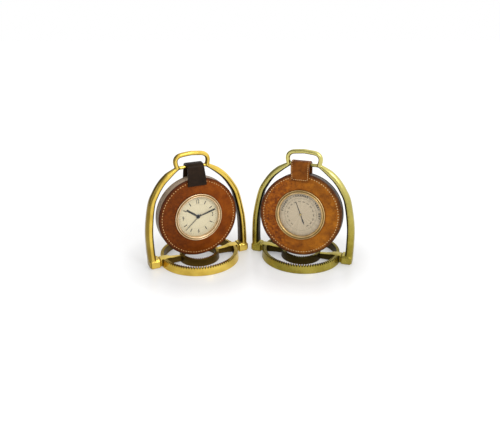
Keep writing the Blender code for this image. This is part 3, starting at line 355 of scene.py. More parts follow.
def metal(name, stand, brass, shade_and_patina_mask, shade_and_patina_colour, waves=0.00006, spots=None, painted_top_light=None):
    """Cast and polished metal: its colour, gloss and flatness vary, and painted shade with some patina
    darkens it in its recesses and on the walls its mask picks.
    """
    painted_top_light_rise = (35.0 * mm, 140.0 * mm)
    dark, light, rough, worn = brass
    n = Look(name, drawn=True)
    broad = n.noise(55.0, 3.0, 0.5)
    fine = n.noise(900.0, 3.0, 0.6)
    colour = n.mixed(n.span(broad, 0.35, 0.65), dark, light)
    if spots:
        patches = n.span(n.noise(190.0, 5.0, 0.65), 0.56, 0.72, 0.0, 0.75)
        colour = n.mixed(patches, colour, spots)
    # Painted light: the colour turns paler towards the top, as if lit from above
    if painted_top_light:
        high = n.span(n.parts(n.place)["Z"], *painted_top_light_rise, 0.0, 0.85)
        colour = n.mixed(high, colour, painted_top_light)
    # Painted shade with some patina, from the mask, darkens the colour and roughens it
    shade_and_patina = shade_and_patina_mask(n, stand)
    colour = n.mixed(shade_and_patina, colour, shade_and_patina_colour)
    gloss = n.span(n.noise(240.0, 4.0, 0.6), 0.3, 0.7, rough, worn)
    gloss = n.math("ADD", gloss, n.math("MULTIPLY", shade_and_patina, 0.2))
    first = n.bump(n.noise(130.0, 2.0, 0.4), waves * 4)
    n.finish(Base_Color=colour, Metallic=1.0, Roughness=gloss,
             Normal=n.bump(fine, waves / 4, 0.5, after=first))


def leather(name, stops, rough, worn, grain, edge=None, edge_colour=None, patches=60.0, gloss=0.10,
            left_shade=None):
    """Vegetable leather: mottled colour, pores and creases, darker where its edge is burnished, and,
    where given, mottled painted shade on its left side.
    """
    left_shade_fade = (-30.0 * mm, 15.0 * mm)
    n = Look(name, drawn=True)
    colour = n.ramp(n.noise(patches, 6.0, 0.62, 0.4), stops)
    # Painted shade: the left side is darkened, as if turned away from the light
    if left_shade:
        left = n.span(n.parts(n.place)["X"], *left_shade_fade, 1.0, 0.0)
        colour = n.mixed(left, colour, n.ramp(n.noise(300.0, 5.0, 0.7), left_shade))
    pores = n.span(n.noise(1500.0, 2.0, 0.5), 0.30, 0.42, 0.75, 1.0)
    colour = n.mixed(1.0, colour, n.ramp(pores, [(0.7, (0.55, 0.5, 0.45)), (1.0, white)]), "MULTIPLY")
    if edge:
        near = n.span(n.radius(), *edge)
        waver = n.math("ADD", near, n.span(n.noise(220.0, 4.0), 0.3, 0.7, -0.25, 0.25))
        colour = n.mixed(n.span(waver, 0.0, 1.0, 0.0, 0.85), colour, edge_colour)
    roughness = n.span(n.noise(160.0, 5.0, 0.6), 0.3, 0.7, rough, worn)
    first = n.bump(n.span(n.cracks(850.0), 0.0, 0.12), grain, 0.7)
    second = n.bump(n.noise(120.0, 4.0, 0.6), grain * 5, 0.6, after=first)
    n.finish(Base_Color=colour, Roughness=roughness, Normal=second, Specular_IOR_Level=gloss)


def plain(name, dark, light, rough, metallic=0.0, scale=300.0, depth=0.00001):
    n = Look(name)
    share = n.span(n.noise(scale, 4.0), 0.3, 0.7)
    gloss = n.span(n.noise(scale * 2, 3.0), 0.3, 0.7, rough * 0.85, rough * 1.15)
    n.finish(Base_Color=n.mixed(share, dark, light), Roughness=gloss, Metallic=metallic,
             Normal=n.bump(n.noise(scale * 4, 3.0), depth))


def turned_metal(name, dark, light, rough, groove, painted_groove_shade):
    """Metal turned on a lathe, with fine rings round the drum's axis. Its groove is darkened by painted
    shade.
    """
    groove_edge = (0.4 * mm, 0.8 * mm)
    n = Look(name, drawn=True)
    rings = n.streaks(n.radius(), 9000.0)
    share = n.span(n.noise(70.0, 3.0), 0.35, 0.65)
    gloss = n.span(n.noise(300.0, 4.0), 0.3, 0.7, rough * 0.8, rough * 1.25)
    away = n.math("ABSOLUTE", n.math("SUBTRACT", n.radius(), groove))
    # Painted shade in the groove
    colour = n.mixed(n.span(away, *groove_edge, 1.0, 0.0), n.mixed(share, dark, light), painted_groove_shade)
    n.finish(Base_Color=colour, Metallic=1.0, Roughness=gloss, Normal=n.bump(rings, 0.000004, 0.5))


def dial_face(name, dark, light, rays, rough):
    """A dial brushed out from its centre."""
    n = Look(name, drawn=True)
    streak = n.streaks(n.heading(), rays, 3.0)
    age = n.span(n.noise(70.0, 4.0, 0.6), 0.35, 0.7, 0.0, 0.35)
    colour = n.mixed(age, n.mixed(n.span(streak, 0.3, 0.7), dark, light), dark)
    n.finish(Base_Color=colour, Roughness=rough, Metallic=0.0, Normal=n.bump(streak, 0.00001, 0.3))


def wood(name):
    n = Look(name)
    stretched = n.add("ShaderNodeMapping", {"Vector": n.place, "Scale": (60.0, 900.0, 60.0)})
    grain = n.noise(1.0, 5.0, 0.6, at=stretched.outputs["Vector"])
    colour = n.ramp(grain, [(0.3, (0.20, 0.11, 0.05)), (0.7, (0.46, 0.30, 0.16))])
    n.finish(Base_Color=colour, Roughness=n.span(grain, 0.2, 0.8, 0.6, 0.8),
             Normal=n.bump(grain, 0.00003))


def glass(name):
    """Clear glass that mirrors more where it is seen at a slant."""
    n = Look(name)
    clear = n.add("ShaderNodeBsdfTransparent", {"Color": (0.985, 0.99, 0.98)})
    tint = n.ramp(n.noise(40.0, 2.0), [(0.0, (0.9, 0.9, 0.9)), (1.0, white)])
    shine = n.add("ShaderNodeBsdfGlossy", {"Color": tint, "Roughness": 0.03})
    slant = n.add("ShaderNodeLayerWeight", {"Blend": 0.5}).outputs["Facing"]
    mirror = n.span(n.math("POWER", slant, 5.0), 0.0, 1.0, 0.015, 0.8)
    n.put(n.output, "Surface", n.either(mirror, clear.outputs["BSDF"], shine.outputs["BSDF"]))


# Each brass has two colours and its roughness where polished and where worn.
bright_brass = ((0.62, 0.41, 0.062), (0.80, 0.58, 0.115), 0.12, 0.24)
old_brass = ((0.26, 0.205, 0.026), (0.40, 0.325, 0.058), 0.22, 0.38)
# The dark colour after each mask is painted shade with some patina
metal("clock_arch_brass", clock, bright_brass, clock_arch_tarnish, (0.045, 0.024, 0.004),
      waves=0.00004)
metal("clock_tread_brass", clock, bright_brass, tread_tarnish, (0.115, 0.068, 0.012))
# The barometer's arch gets painted light towards its top
metal("barometer_arch_brass", barometer, old_brass, arch_tarnish, (0.035, 0.026, 0.006),
      spots=(0.18, 0.13, 0.022), painted_top_light=(0.64, 0.58, 0.20))
metal("barometer_tread_brass", barometer, old_brass, tread_tarnish, (0.055, 0.038, 0.008),
      spots=(0.30, 0.15, 0.028))
# The last colour of each rim is painted shade in its groove
turned_metal("clock_rim", (0.72, 0.50, 0.28), (0.88, 0.66, 0.42), 0.30, 30.1 * mm, (0.30, 0.20, 0.08))
turned_metal("barometer_rim", (0.54, 0.36, 0.14), (0.75, 0.53, 0.26), 0.34, 31.1 * mm,
             (0.24, 0.165, 0.06))
leather("clock_leather", [(0.30, (0.16, 0.032, 0.002)), (0.50, (0.25, 0.055, 0.003)),
                          (0.75, (0.36, 0.090, 0.006))],
        0.42, 0.56, 0.00003, edge=(49.0 * mm, 53.0 * mm), edge_colour=(0.040, 0.011, 0.004),
        left_shade=[(0.35, (0.10, 0.021, 0.002)), (0.65, (0.20, 0.044, 0.003))])
leather("barometer_leather", [(0.28, (0.14, 0.040, 0.004)), (0.42, (0.26, 0.080, 0.006)),
                              (0.58, (0.37, 0.122, 0.008)), (0.78, (0.50, 0.175, 0.012))],
        0.40, 0.56, 0.00004, edge=(48.8 * mm, 52.8 * mm), edge_colour=(0.035, 0.012, 0.006),
        patches=85.0, left_shade=[(0.34, (0.10, 0.023, 0.005)), (0.48, (0.24, 0.060, 0.006)),
                             (0.66, (0.44, 0.130, 0.009))])
# The clock's band colour is a painted sheen: pale grey-brown that stands in for light mirrored by dark
# leather
leather("clock_band_leather", [(0.3, (0.30, 0.215, 0.140)), (0.7, (0.47, 0.355, 0.24))],
        0.36, 0.50, 0.00003, gloss=0.3)
leather("barometer_band_leather", [(0.3, (0.030, 0.017, 0.009)), (0.7, (0.070, 0.042, 0.024))],
        0.34, 0.48, 0.00003, gloss=0.22)
leather("clock_strap_leather", [(0.3, (0.010, 0.005, 0.002)), (0.7, (0.028, 0.014, 0.006))],
        0.40, 0.52, 0.00003, gloss=0.12)
leather("barometer_strap_leather", [(0.28, (0.09, 0.024, 0.003)), (0.5, (0.19, 0.054, 0.004)),
                                    (0.75, (0.28, 0.084, 0.007))],
        0.40, 0.54, 0.00004, patches=90.0)
wood("wood_core")
glass("clear_glass")
dial_face("cream_dial", (0.79, 0.68, 0.455), (0.88, 0.775, 0.56), 16.0, 0.5)
dial_face("silver_dial", (0.50, 0.40, 0.28), (0.60, 0.485, 0.345), 7.0, 0.45)

# Two colours, roughness and, where they differ from the rest, metallic share, scale and depth
plain_looks = {
    "clock_thread": ((0.50, 0.25, 0.07), (0.85, 0.52, 0.22), 0.7, 0.0, 2500.0, 0.0001),
    "barometer_thread": ((0.50, 0.29, 0.10), (0.84, 0.58, 0.27), 0.7, 0.0, 2500.0, 0.0001),
    "hand_black": ((0.004, 0.005, 0.007), (0.010, 0.013, 0.018), 0.22, 0.2),
    "dial_ink": ((0.012, 0.011, 0.008), (0.03, 0.027, 0.02), 0.6),
    "soft_ink": ((0.035, 0.030, 0.022), (0.06, 0.05, 0.038), 0.6),
    "pale_ink": ((0.40, 0.36, 0.25), (0.46, 0.42, 0.30), 0.6),
    "steel": ((0.42, 0.42, 0.43), (0.60, 0.60, 0.61), 0.30, 1.0),
    "blued_steel": ((0.02, 0.022, 0.03), (0.05, 0.05, 0.06), 0.28, 0.8),
    "yellow_brass": ((0.62, 0.47, 0.20), (0.80, 0.63, 0.30), 0.26, 1.0),
    "rose_metal": ((0.70, 0.47, 0.27), (0.86, 0.62, 0.38), 0.30, 1.0),
    "pale_metal": ((0.44, 0.37, 0.15), (0.62, 0.53, 0.27), 0.34, 1.0),
    "white_plastic": ((0.70, 0.70, 0.67), (0.80, 0.80, 0.77), 0.42),
    "black_plastic": ((0.018, 0.018, 0.018), (0.032, 0.032, 0.032), 0.42),
    "circuit": ((0.015, 0.11, 0.04), (0.03, 0.22, 0.08), 0.45, 0.0, 900.0),
    "copper": ((0.50, 0.20, 0.09), (0.72, 0.34, 0.17), 0.32, 1.0, 1200.0),
}
for name, values in plain_looks.items():
    plain(name, *values)

cad_looks = {
    "wood_core": ["clock_core", "barometer_core"],
    "clear_glass": ["clock_glass", "barometer_glass"],
    "rose_metal": ["clock_rear_cover"],
    "pale_metal": ["barometer_rear_cover"],
    "white_plastic": ["clock_movement_base", "clock_hour_wheel", "clock_cannon_pinion",
                      "clock_motion_wheel", "clock_fifth_wheel"],
    "black_plastic": ["clock_movement_cover", "clock_set_knob"],
    "steel": ["clock_button_cell", "clock_front_contact", "clock_rear_contact", "clock_stator",
              "clock_seconds_wheel", "clock_rotor", "barometer_main_spring",
              "barometer_rocking_shaft", "barometer_pinion_arbor"],
    "circuit": ["clock_circuit_board"],
    "copper": ["clock_coil", "barometer_capsule"],
    "blued_steel": ["barometer_hairspring"],
    "yellow_brass": ["clock_cup", "barometer_cup", "barometer_base_plate", "barometer_sector",
                     "barometer_shaft_post_left", "barometer_shaft_post_right",
                     "barometer_top_plate", "barometer_adjusting_screw"],
}
for look, nodes in cad_looks.items():
    for node in nodes:
        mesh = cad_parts[node].data
        mesh.materials.clear()
        mesh.materials.append(looks[look])


# Shapes

def tool(name, shape, sharp=35.0, matrix=None):
    """Turns a bmesh into an object. With a matrix it notes the places it was drawn at, and moves."""
    bmesh.ops.remove_doubles(shape, verts=shape.verts, dist=same_place)
    bmesh.ops.recalc_face_normals(shape, faces=shape.faces)
    mesh = bpy.data.meshes.new(name)
    shape.to_mesh(mesh)
    shape.free()
    if matrix is not None:
        held = mesh.attributes.new(drawn_at, "FLOAT_VECTOR", "POINT")
        held.data.foreach_set("vector", [value for vertex in mesh.vertices for value in vertex.co])
        mesh.transform(matrix)
    mesh.shade_smooth()
    mesh.set_sharp_from_angle(angle=math.radians(sharp))
    return add_object(name, mesh)


def piece(name, shape, matrix, look, body, replaced=(), sharp=35.0):
    """Turns a bmesh into a shown piece that rides on a body and may stand for CAD nodes."""
    thing = tool(name, shape, sharp, matrix)
    thing.data.materials.append(looks[look])
    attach(thing, body)
    if replaced:
        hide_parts(*replaced)


def drum_piece(stand, part, shape, look, node, sharp=50.0):
    """A piece of a stand's drum that stands for one CAD node."""
    name = stand["name"]
    piece(f"{name}_{part}", shape, stand["drum"], look, name + "_case", [f"{name}_{node}"], sharp)


def taken_mesh(thing):
    """The object's mesh with its modifiers applied. The object goes."""
    bpy.context.view_layer.update()
    graph = bpy.context.evaluated_depsgraph_get()
    mesh = bpy.data.meshes.new_from_object(thing.evaluated_get(graph))
    bpy.data.objects.remove(thing)
    return mesh


def add_mesh(shape, mesh):
    shape.from_mesh(mesh)
    bpy.data.meshes.remove(mesh)


def united(thing, tools, voxel=None):
    """The union of an object and its tools, as a bmesh. With a voxel size its joins run softly."""
    for other in tools:
        change = thing.modifiers.new("join", "BOOLEAN")
        change.operation = "UNION"
        change.solver = "EXACT"
        change.object = other
    if voxel:
        remesh = thing.modifiers.new("remesh", "REMESH")
        remesh.mode = "VOXEL"
        remesh.voxel_size = voxel
        smooth = thing.modifiers.new("smooth", "SMOOTH")
        smooth.factor = 0.5
        smooth.iterations = casting_smoothing
    shape = bmesh.new()
    add_mesh(shape, taken_mesh(thing))
    for other in tools:
        bpy.data.objects.remove(other)
    return shape


def in_mm(points):
    return [tuple(value * mm for value in point) for point in points]


def rounded(points, count=4, closed=True):
    """Rounds the corners of an outline. A point is (a, b) or (a, b, cut), cut being taken off it."""
    out = []
    size = len(points)
    for index, point in enumerate(points):
        at = Vector(point[:2])
        cut = point[2] if len(point) > 2 else 0.0
        if not cut or (not closed and index in (0, size - 1)):
            out.append(at)
            continue
        before = Vector(points[index - 1][:2]) - at
        after = Vector(points[(index + 1) % size][:2]) - at
        start = at + before.normalized() * min(cut, before.length * 0.49)
        end = at + after.normalized() * min(cut, after.length * 0.49)
        for step in range(count + 1):
            t = step / count
            out.append((1 - t) ** 2 * start + 2 * t * (1 - t) * at + t ** 2 * end)
    return out


def join_rows(shape, near, far, closed=True):
    """Faces between two rows of vertices."""
    count = len(near)
    for index in range(count if closed else count - 1):
        after = (index + 1) % count
        shape.faces.new((near[index], near[after], far[after], far[index]))


def lathe(profile, steps, closed=True, change=None, shape=None):
    """Spins points (radius, y) about Y. change(radius, y, angle) may move a point."""
    shape = shape or bmesh.new()
    columns = []
    for step in range(steps):
        angle = math.tau * step / steps
        column = []
        for radius, y in profile:
            if change:
                radius, y = change(radius, y, angle)
            column.append(shape.verts.new((radius * math.sin(angle), y, radius * math.cos(angle))))
        columns.append(column)
    for near, far in zip(columns, columns[1:] + columns[:1]):
        join_rows(shape, near, far, closed)
    return shape


def loft(rings, closed=False, shape=None):
    """Skins rings of points, in a bmesh of its own or in the one given. Open ends are capped."""
    shape = shape or bmesh.new()
    loops = [[shape.verts.new(point) for point in ring] for ring in rings]
    for near, far in zip(loops, loops[1:]):
        join_rows(shape, near, far)
    if closed:
        join_rows(shape, loops[-1], loops[0])
    else:
        shape.faces.new(loops[0])
        shape.faces.new(loops[-1])
    return shape


def curve_through(points, steps):
    """A Catmull-Rom curve through 2D points."""
    first = [2 * points[0][k] - points[1][k] for k in range(2)]
    last = [2 * points[-1][k] - points[-2][k] for k in range(2)]
    held = [first, *points, last]
    out = []
    for index in range(1, len(held) - 2):
        a, b, c, d = (Vector(held[index + k]) for k in (-1, 0, 1, 2))
        for step in range(steps):
            t = step / steps
            out.append(0.5 * (2 * b + (c - a) * t + (2 * a - 5 * b + 4 * c - d) * t ** 2
                              + (3 * b - a - 3 * c + d) * t ** 3))
    out.append(Vector(points[-1]))
    return out


def directions(path):
    """The unit direction of a path at each of its points."""
    last = len(path) - 1
    return [(path[min(index + 1, last)] - path[max(index - 1, 0)]).normalized()
            for index in range(len(path))]


def left_of(along):
    return Vector((-along[1], along[0]))


def cut_corners(points, share, rounds):
    for _ in range(rounds):
        out = []
        for index, point in enumerate(points):
            after = points[(index + 1) % len(points)]
            out.append(point + (after - point) * share)
            out.append(point + (after - point) * (1 - share))
        points = out
    return points


# Stirrups. Outlines and curves are in shares of the sizes above.

branch_outline = [(0.49, -0.22), (0.49, 0.30), (0.30, 0.49), (-0.40, 0.49), (-0.49, 0.40),
                  (-0.49, -0.28), (-0.26, -0.49), (0.12, -0.49)]
round_outline = [(0.5 * math.cos(math.tau * (k + 0.5) / 8) / math.cos(math.pi / 8),
                  0.5 * math.sin(math.tau * (k + 0.5) / 8) / math.cos(math.pi / 8))
                 for k in (7, 0, 1, 2, 3, 4, 5, 6)]
arch_shares = [(1.0, 0.03), (1.008, 0.20), (0.99, 0.41), (0.897, 0.655), (0.79, 0.77),
               (0.668, 0.858), (0.54, 0.92), (0.42, 0.962)]
eye_shares = [(0.90, -0.07), (0.985, 0.33), (0.97, 0.60), (0.85, 0.80), (0.62, 0.92), (0.0, 1.0)]
curve_steps = 8

# Where a tooth's corners lie, in shares of its pitch
tooth_shares = [(-0.20, "tip"), (0.20, "tip"), (0.42, "notch"), (0.58, "notch")]

# Each station of a crossbar: share of its length, width and top, both in mm
crossbar_stations = [(0.0, 12.0, 11.2), (0.18, 11.7, 11.2), (0.35, 11.0, 11.2), (0.42, 9.4, 10.8),
                     (0.50, 8.3, 10.0), (0.65, 7.2, 9.5), (0.88, 6.4, 9.0), (1.0, 6.4, 9.0)]


def bar_section(thick, depth, fade):
    """A cast branch: flat inside, a facet outside, and a ridge between it and the front.

    It is faceted at a fade of 1 and round at 0.
    """
    points = []
    for faceted, plain_round in zip(branch_outline, round_outline):
        across = plain_round[0] + (faceted[0] - plain_round[0]) * fade
        along = plain_round[1] + (faceted[1] - plain_round[1]) * fade
        points.append(Vector((across * thick, along * depth)))
    return cut_corners(points, 0.2, 2)


def sweep(stand, half, sections, middle=0.0, one_top=False):
    """Sweeps sections along a curve. Its halves may share one top point. It leans with the stand."""
    path = [Vector((middle - x, z)) for x, z in half]
    path += [Vector((middle + x, z)) for x, z in reversed(half[:-1] if one_top else half)]
    path = [Vector((point[0] + stand["lean"] * point[1], point[1])) for point in path]
    rings = []
    for point, along, section in zip(path, directions(path), sections):
        out = left_of(along)
        rings.append([(point[0] + across * out[0], y, point[1] + across * out[1])
                      for across, y in section])
    return loft(rings)


def arch_half():
    """The right half of the arch's middle line, from its foot to the crown bar's end."""
    points = [(across * branch_half_span, up * bar_height) for across, up in arch_shares]
    rise = bar_height - points[-1][1]
    points.append((bar_half_length + 2 * rise / 3, bar_height - rise / 8))
    points.append((bar_half_length, bar_height))
    return curve_through(points, curve_steps)


def arch_section(x, z):
    """The branch's section at a point of the arch. It narrows to the round crown bar."""
    rise = min(z / bar_height, 1.0)
    thick = branch_thick[0] + (branch_thick[1] - branch_thick[0]) * rise ** 1.5
    depth = branch_depth[0] + (branch_depth[1] - branch_depth[0]) * rise ** 0.8
    fade = min(max((abs(x) - bar_half_length) / bar_half_length, 0.0), 1.0)
    thick = 2 * bar_radius + (thick - 2 * bar_radius) * fade
    depth = 2 * bar_radius + (depth - 2 * bar_radius) * fade
    return bar_section(thick, depth, fade)


def build_arch(stand):
    name = stand["name"]
    half = arch_half()
    sections = [arch_section(x, z) for x, z in half]
    arch = tool(name + "_arch_tool", sweep(stand, half, sections + sections[::-1]))
    rise = eye_top - bar_height
    half = curve_through([(across * eye_half_width, bar_height + up * rise)
                          for across, up in eye_shares], curve_steps)
    sections = [bar_section(eye_thick, eye_depth, eye_facet_share)] * (2 * len(half) - 1)
    eye = sweep(stand, half, sections, stand["eye_shift"], one_top=True)
    tools = [tool(name + "_eye_tool", eye)]
    for side in (-1, 1):
        shape = bmesh.new()
        bmesh.ops.create_cube(shape, size=1.0)
        bmesh.ops.scale(shape, vec=(foot_outer - foot_inner, foot_depth, foot_height),
                        verts=shape.verts)
        bmesh.ops.translate(shape, vec=(side * (foot_outer + foot_inner) / 2, 0.0, foot_height / 2),
                            verts=shape.verts)
        bmesh.ops.bevel(shape, geom=shape.edges[:], offset=foot_round, segments=4, affect="EDGES")
        tools.append(tool(f"{name}_foot_tool_{side}", shape))
    piece(name + "_arch_casting", united(arch, tools, casting_voxel), stand["base"],
          name + "_arch_brass", name + "_stand", [name + "_arch"], 60.0)


def toothed_ring(radius, draft, width, foot_width, notch, tip, teeth):
    """A tapered ring with V teeth across its top edge, whose edges are softened."""
    heights = {"tip": tip, "notch": notch}
    chamfer = tooth_chamfer
    columns = []
    for tooth in range(teeth):
        for share, level in tooth_shares:
            height = heights[level]
            angle = math.tau * (tooth + share) / teeth
            outer = radius - draft * height / tip
            inner = radius - draft - width + (draft + width - foot_width) * (1 - height / tip)
            profile = [(radius - chamfer, 0.0), (radius, chamfer), (outer, height - chamfer),
                       (outer - chamfer, height), (inner + chamfer, height),
                       (inner, height - chamfer), (radius - foot_width, chamfer),
                       (radius - foot_width + chamfer, 0.0)]
            columns.append([(r * math.cos(angle), r * math.sin(angle), z) for r, z in profile])
    return loft(columns, closed=True)


def build_tread(stand):
    name = stand["name"]
    base = tool(name + "_ring_tool", toothed_ring(**outer_ring))
    tools = [tool(name + "_hub_tool", toothed_ring(**inner_ring))]
    for side in (-1, 1):
        rings = []
        for run, width, top in crossbar_stations:
            x = side * (crossbar_start + (crossbar_end - crossbar_start) * run)
            half = width / 2 * mm
            high = top * mm
            outline = rounded([(-half, crossbar_underside, crossbar_under_round),
                               (half, crossbar_underside, crossbar_under_round),
                               (half, high, crossbar_top_round),
                               (-half, high, crossbar_top_round)], 3)
            rings.append([(x, y, z) for y, z in outline])
        tools.append(tool(f"{name}_crossbar_tool_{side}", loft(rings)))
    piece(name + "_tread_casting", united(base, tools), stand["base"], name + "_tread_brass",
          name + "_stand", [name + "_tread"], 30.0)


# Drums

def build_leathers(stand):
    name = stand["name"]
    radius = stand["radius"]
    count = stand["stitches"]
    groove = stand["stitch_radius"]

    def pinched(r, y, angle):
        """Each stitch pulls the groove down a little where it enters the leather."""
        near = max(0.0, 1.0 - abs(r - groove) / groove_reach)
        pull = 0.5 - 0.5 * math.cos(angle * count)
        return r, y - math.copysign(near * pull * groove_pull, y)

    def rind(inner, way):
        """The leather's outline, on the front (way 1) or, mirrored, on the back (way -1)."""
        out = face * way
        thick = leather_thick * way
        return rounded([(inner, out + thick), (inner, out, 0.6 * mm), (inner + hide_slope, out),
                        (groove - groove_half, out, 0.5 * mm),
                        (groove, out + groove_depth * way, 0.8 * mm),
                        (groove + groove_half, out, 0.5 * mm), (radius, out, hide_edge),
                        (radius, out + thick)], 5)

    for word, inner, way, look in (("front", stand["bezel"] + hide_gap, 1, name + "_leather"),
                                   ("rear", rear_hole, -1, name + "_band_leather")):
        shape = lathe(rind(inner, way), count * steps_per_stitch, change=pinched)
        drum_piece(stand, word + "_hide", shape, look, word + "_leather")

    bulge = radius - band_crown / 2
    shoulder = radius - band_shoulder
    band = [(radius - band_thick, core_front), (shoulder, core_front, 0.3 * mm),
            (bulge, core_front * 0.6), (radius, 0.0), (bulge, core_back * 0.6),
            (shoulder, core_back, 0.3 * mm), (radius - band_thick, core_back)]
    drum_piece(stand, "side_hide", lathe(rounded(band, 4), fine_steps), name + "_band_leather",
               "side_band")


# A stitch: places along it in shares of its length, and its girth in shares of its radius
stitch_shape = [(-0.5, 0.35), (-0.42, 0.8), (-0.28, 1.0), (0.0, 1.06), (0.28, 1.0), (0.42, 0.8),
                (0.5, 0.35)]
stitch_sides = 8


def capsule(shape, matrix, length, thick):
    """Adds one stitch, drawn along X, to a bmesh."""
    corners = [(math.cos(math.tau * k / stitch_sides), math.sin(math.tau * k / stitch_sides))
               for k in range(stitch_sides)]
    loft([[matrix @ Vector((along * length, girth * thick * y, girth * thick * z)) for y, z in corners]
          for along, girth in stitch_shape], shape=shape)


def build_ring_stitches(stand):
    name = stand["name"]
    radius = stand["stitch_radius"]
    count = stand["stitches"]
    pitch = math.tau * radius / count
    for word, y in (("front", face + stitch_rise), ("rear", back - stitch_rise)):
        shape = bmesh.new()
        for index in range(count):
            angle = math.tau * (index + 0.5 + chance.uniform(-0.06, 0.06)) / count
            slant = math.radians(9.0 + chance.uniform(-4.0, 4.0))
            place = (Matrix.Rotation(angle, 4, "Y") @ Matrix.Translation((0.0, y, radius))
                     @ Matrix.Rotation(slant, 4, "Y"))
            capsule(shape, place, pitch * chance.uniform(0.46, 0.54), stitch_thick)
        piece(f"{name}_{word}_stitches", shape, stand["drum"], name + "_thread", name + "_case")


def strap_path(stand):
    """The strap's middle line (y, z) from the face, over the crown bar, to the back."""
    top = stand["radius"] - stand["drop"]
    end = top - strap_overlap
    reach = back + strap_gap + strap_thick / 2
    shoulder = reach - 1.7 * mm
    rise = bar_radius + strap_gap + strap_thick / 2
    half = [(-reach, end), (-reach, end + 3.0 * mm), (-reach, top), (-reach + 0.5 * mm, top * 0.6),
            (-shoulder - 0.4 * mm, top * 0.25)]
    arc = [(-shoulder * math.cos(math.pi * k / 12), rise * math.sin(math.pi * k / 12))
           for k in range(13)]
    return curve_through(half + arc + [(-y, z) for y, z in reversed(half)], 5)


def strap_spread(stand, share):
    """The strap's width and its place across. The share is 0 at the bar and 1 at the lower end."""
    share = min(max(share, 0.0), 1.0)
    return [end[1] + (end[0] - end[1]) * share
            for end in (stand["strap_widths"], stand["strap_shifts"])]


def build_strap(stand):
    name = stand["name"]
    path = strap_path(stand)
    end = path[0][1]
    count = len(path)
    rings = []
    for index, (point, along) in enumerate(zip(path, directions(path))):
        normal = left_of(along)
        ends = min(index, count - 1 - index)
        pinch = (0.55, 0.88, 0.98)[ends] if ends < 3 else 1.0
        width, shift = strap_spread(stand, point[1] / end)
        outline = rounded([(x * width / 2, y * strap_thick / 2, strap_round) for x, y in square], 5)
        rings.append([(shift + x, point[0] + n * pinch * normal[0], point[1] + n * pinch * normal[1])
                      for x, n in outline])
    piece(name + "_strap_hide", loft(rings), stand["hang"], name + "_strap_leather", name + "_case",
          [name + "_strap"], 50.0)
    if stand["sewn_strap"]:
        sew_strap(stand, path)


def sew_strap(stand, path):
    """Stitches down both sides of the strap and across its two ends."""
    name = stand["name"]
    end = path[0][1]
    shape = bmesh.new()
    lengths = [0.0]
    for near, far in zip(path, path[1:]):
        lengths.append(lengths[-1] + (far - near).length)
    total = lengths[-1]
    pitch = strap_stitch_pitch
    inset = strap_stitch_inset

    def at(run):
        """The point and direction of the strap's middle line at a distance along it."""
        index = next(k for k in range(1, len(path)) if lengths[k] >= run)
        near, far = path[index - 1], path[index]
        share = (run - lengths[index - 1]) / (lengths[index] - lengths[index - 1])
        return near + (far - near) * share, (far - near).normalized()

    def sew(x, point, along, lengthwise):
        out = left_of(along)
        centre = point + out * (strap_thick / 2 - strap_stitch_sink)
        place = Matrix.Translation((x, centre[0], centre[1]))
        if lengthwise:
            place = place @ Matrix(((0.0, 1.0, 0.0), (along[0], 0.0, out[0]),
                                    (along[1], 0.0, out[1]))).to_4x4()
        capsule(shape, place, strap_stitch_length, strap_stitch_thick)

    rows = int((total - 2 * inset) / pitch)
    for side in (-1, 1):
        for index in range(rows):
            point, along = at(inset + pitch * (index + 0.5))
            width, shift = strap_spread(stand, point[1] / end)
            sew(shift + side * (width / 2 - inset), point, along, True)
    width, shift = strap_spread(stand, 1.0)
    columns = int((width - 2 * inset) / pitch)
    for run in (inset, total - inset):
        for index in range(columns):
            sew(shift - columns * pitch / 2 + pitch * (index + 0.5), *at(run), False)
    piece(name + "_strap_stitches", shape, stand["hang"], name + "_thread", name + "_case")


def build_bezel(stand):
    """The rim, whose outline runs from its foot over a groove to its lip, and the dial's wall."""
    outer = stand["bezel"]
    lip = stand["lip"]
    width = outer - lip
    front = bezel_front
    foot = core_front - seam
    inside = outer - bezel_wall
    under = front + bezel_lip_thick
    valley = front + 1.05 * mm
    points = [(outer, foot), (outer, face + 0.2 * mm), (outer, front + 1.0 * mm, 0.5 * mm),
              (outer - 0.12 * width, front + 0.35 * mm, 0.5 * mm),
              (outer - 0.27 * width, front + 0.45 * mm, 0.4 * mm),
              (outer - 0.36 * width, valley, 0.3 * mm), (outer - 0.52 * width, valley, 0.3 * mm),
              (outer - 0.62 * width, front, 0.4 * mm), (lip + 0.14 * width, front + 0.05 * mm, 0.4 * mm),
              (lip, front + 0.8 * mm, 0.3 * mm), (lip, under), (inside, under), (inside, foot)]
    drum_piece(stand, "rim", lathe(rounded(points, 4), fine_steps), stand["name"] + "_rim", "bezel",
               40.0)
    wall = outer - dial_margin
    points = [(lip + 0.5 * mm, cup_front, 0.2 * mm), (wall, cup_front), (wall, dial_front - seam),
              (lip, dial_front - seam, 0.15 * mm)]
    drum_piece(stand, "dial_wall", lathe(rounded(points, 3), medium_steps), stand["name"] + "_rim",
               "dial_ring", 40.0)


def build_dial(stand):
    """The dial sheet, with a rounded outer edge and its hole."""
    hole = stand["dial_hole"]
    radius = stand["bezel"] - dial_margin
    edge = 0.1 * mm
    points = [(hole, dial_front, edge), (radius, dial_front, edge),
              (radius, dial_front + dial_thick, edge), (hole, dial_front + dial_thick, edge)]
    drum_piece(stand, "dial_sheet", lathe(rounded(points, 2), medium_steps), stand["dial_look"],
               "dial", 40.0)


# Hands

def plate(outline, front, rear, soften):
    """A flat plate from an outline of (x, z) points, with softened edges."""
    shape = loft([[(x, front, z) for x, z in outline], [(x, rear, z) for x, z in outline]])
    edges = [e for e in shape.edges if abs(e.verts[0].co.y - e.verts[1].co.y) < 1e-7]
    bmesh.ops.bevel(shape, geom=edges, offset=soften, segments=2, affect="EDGES")
    return shape


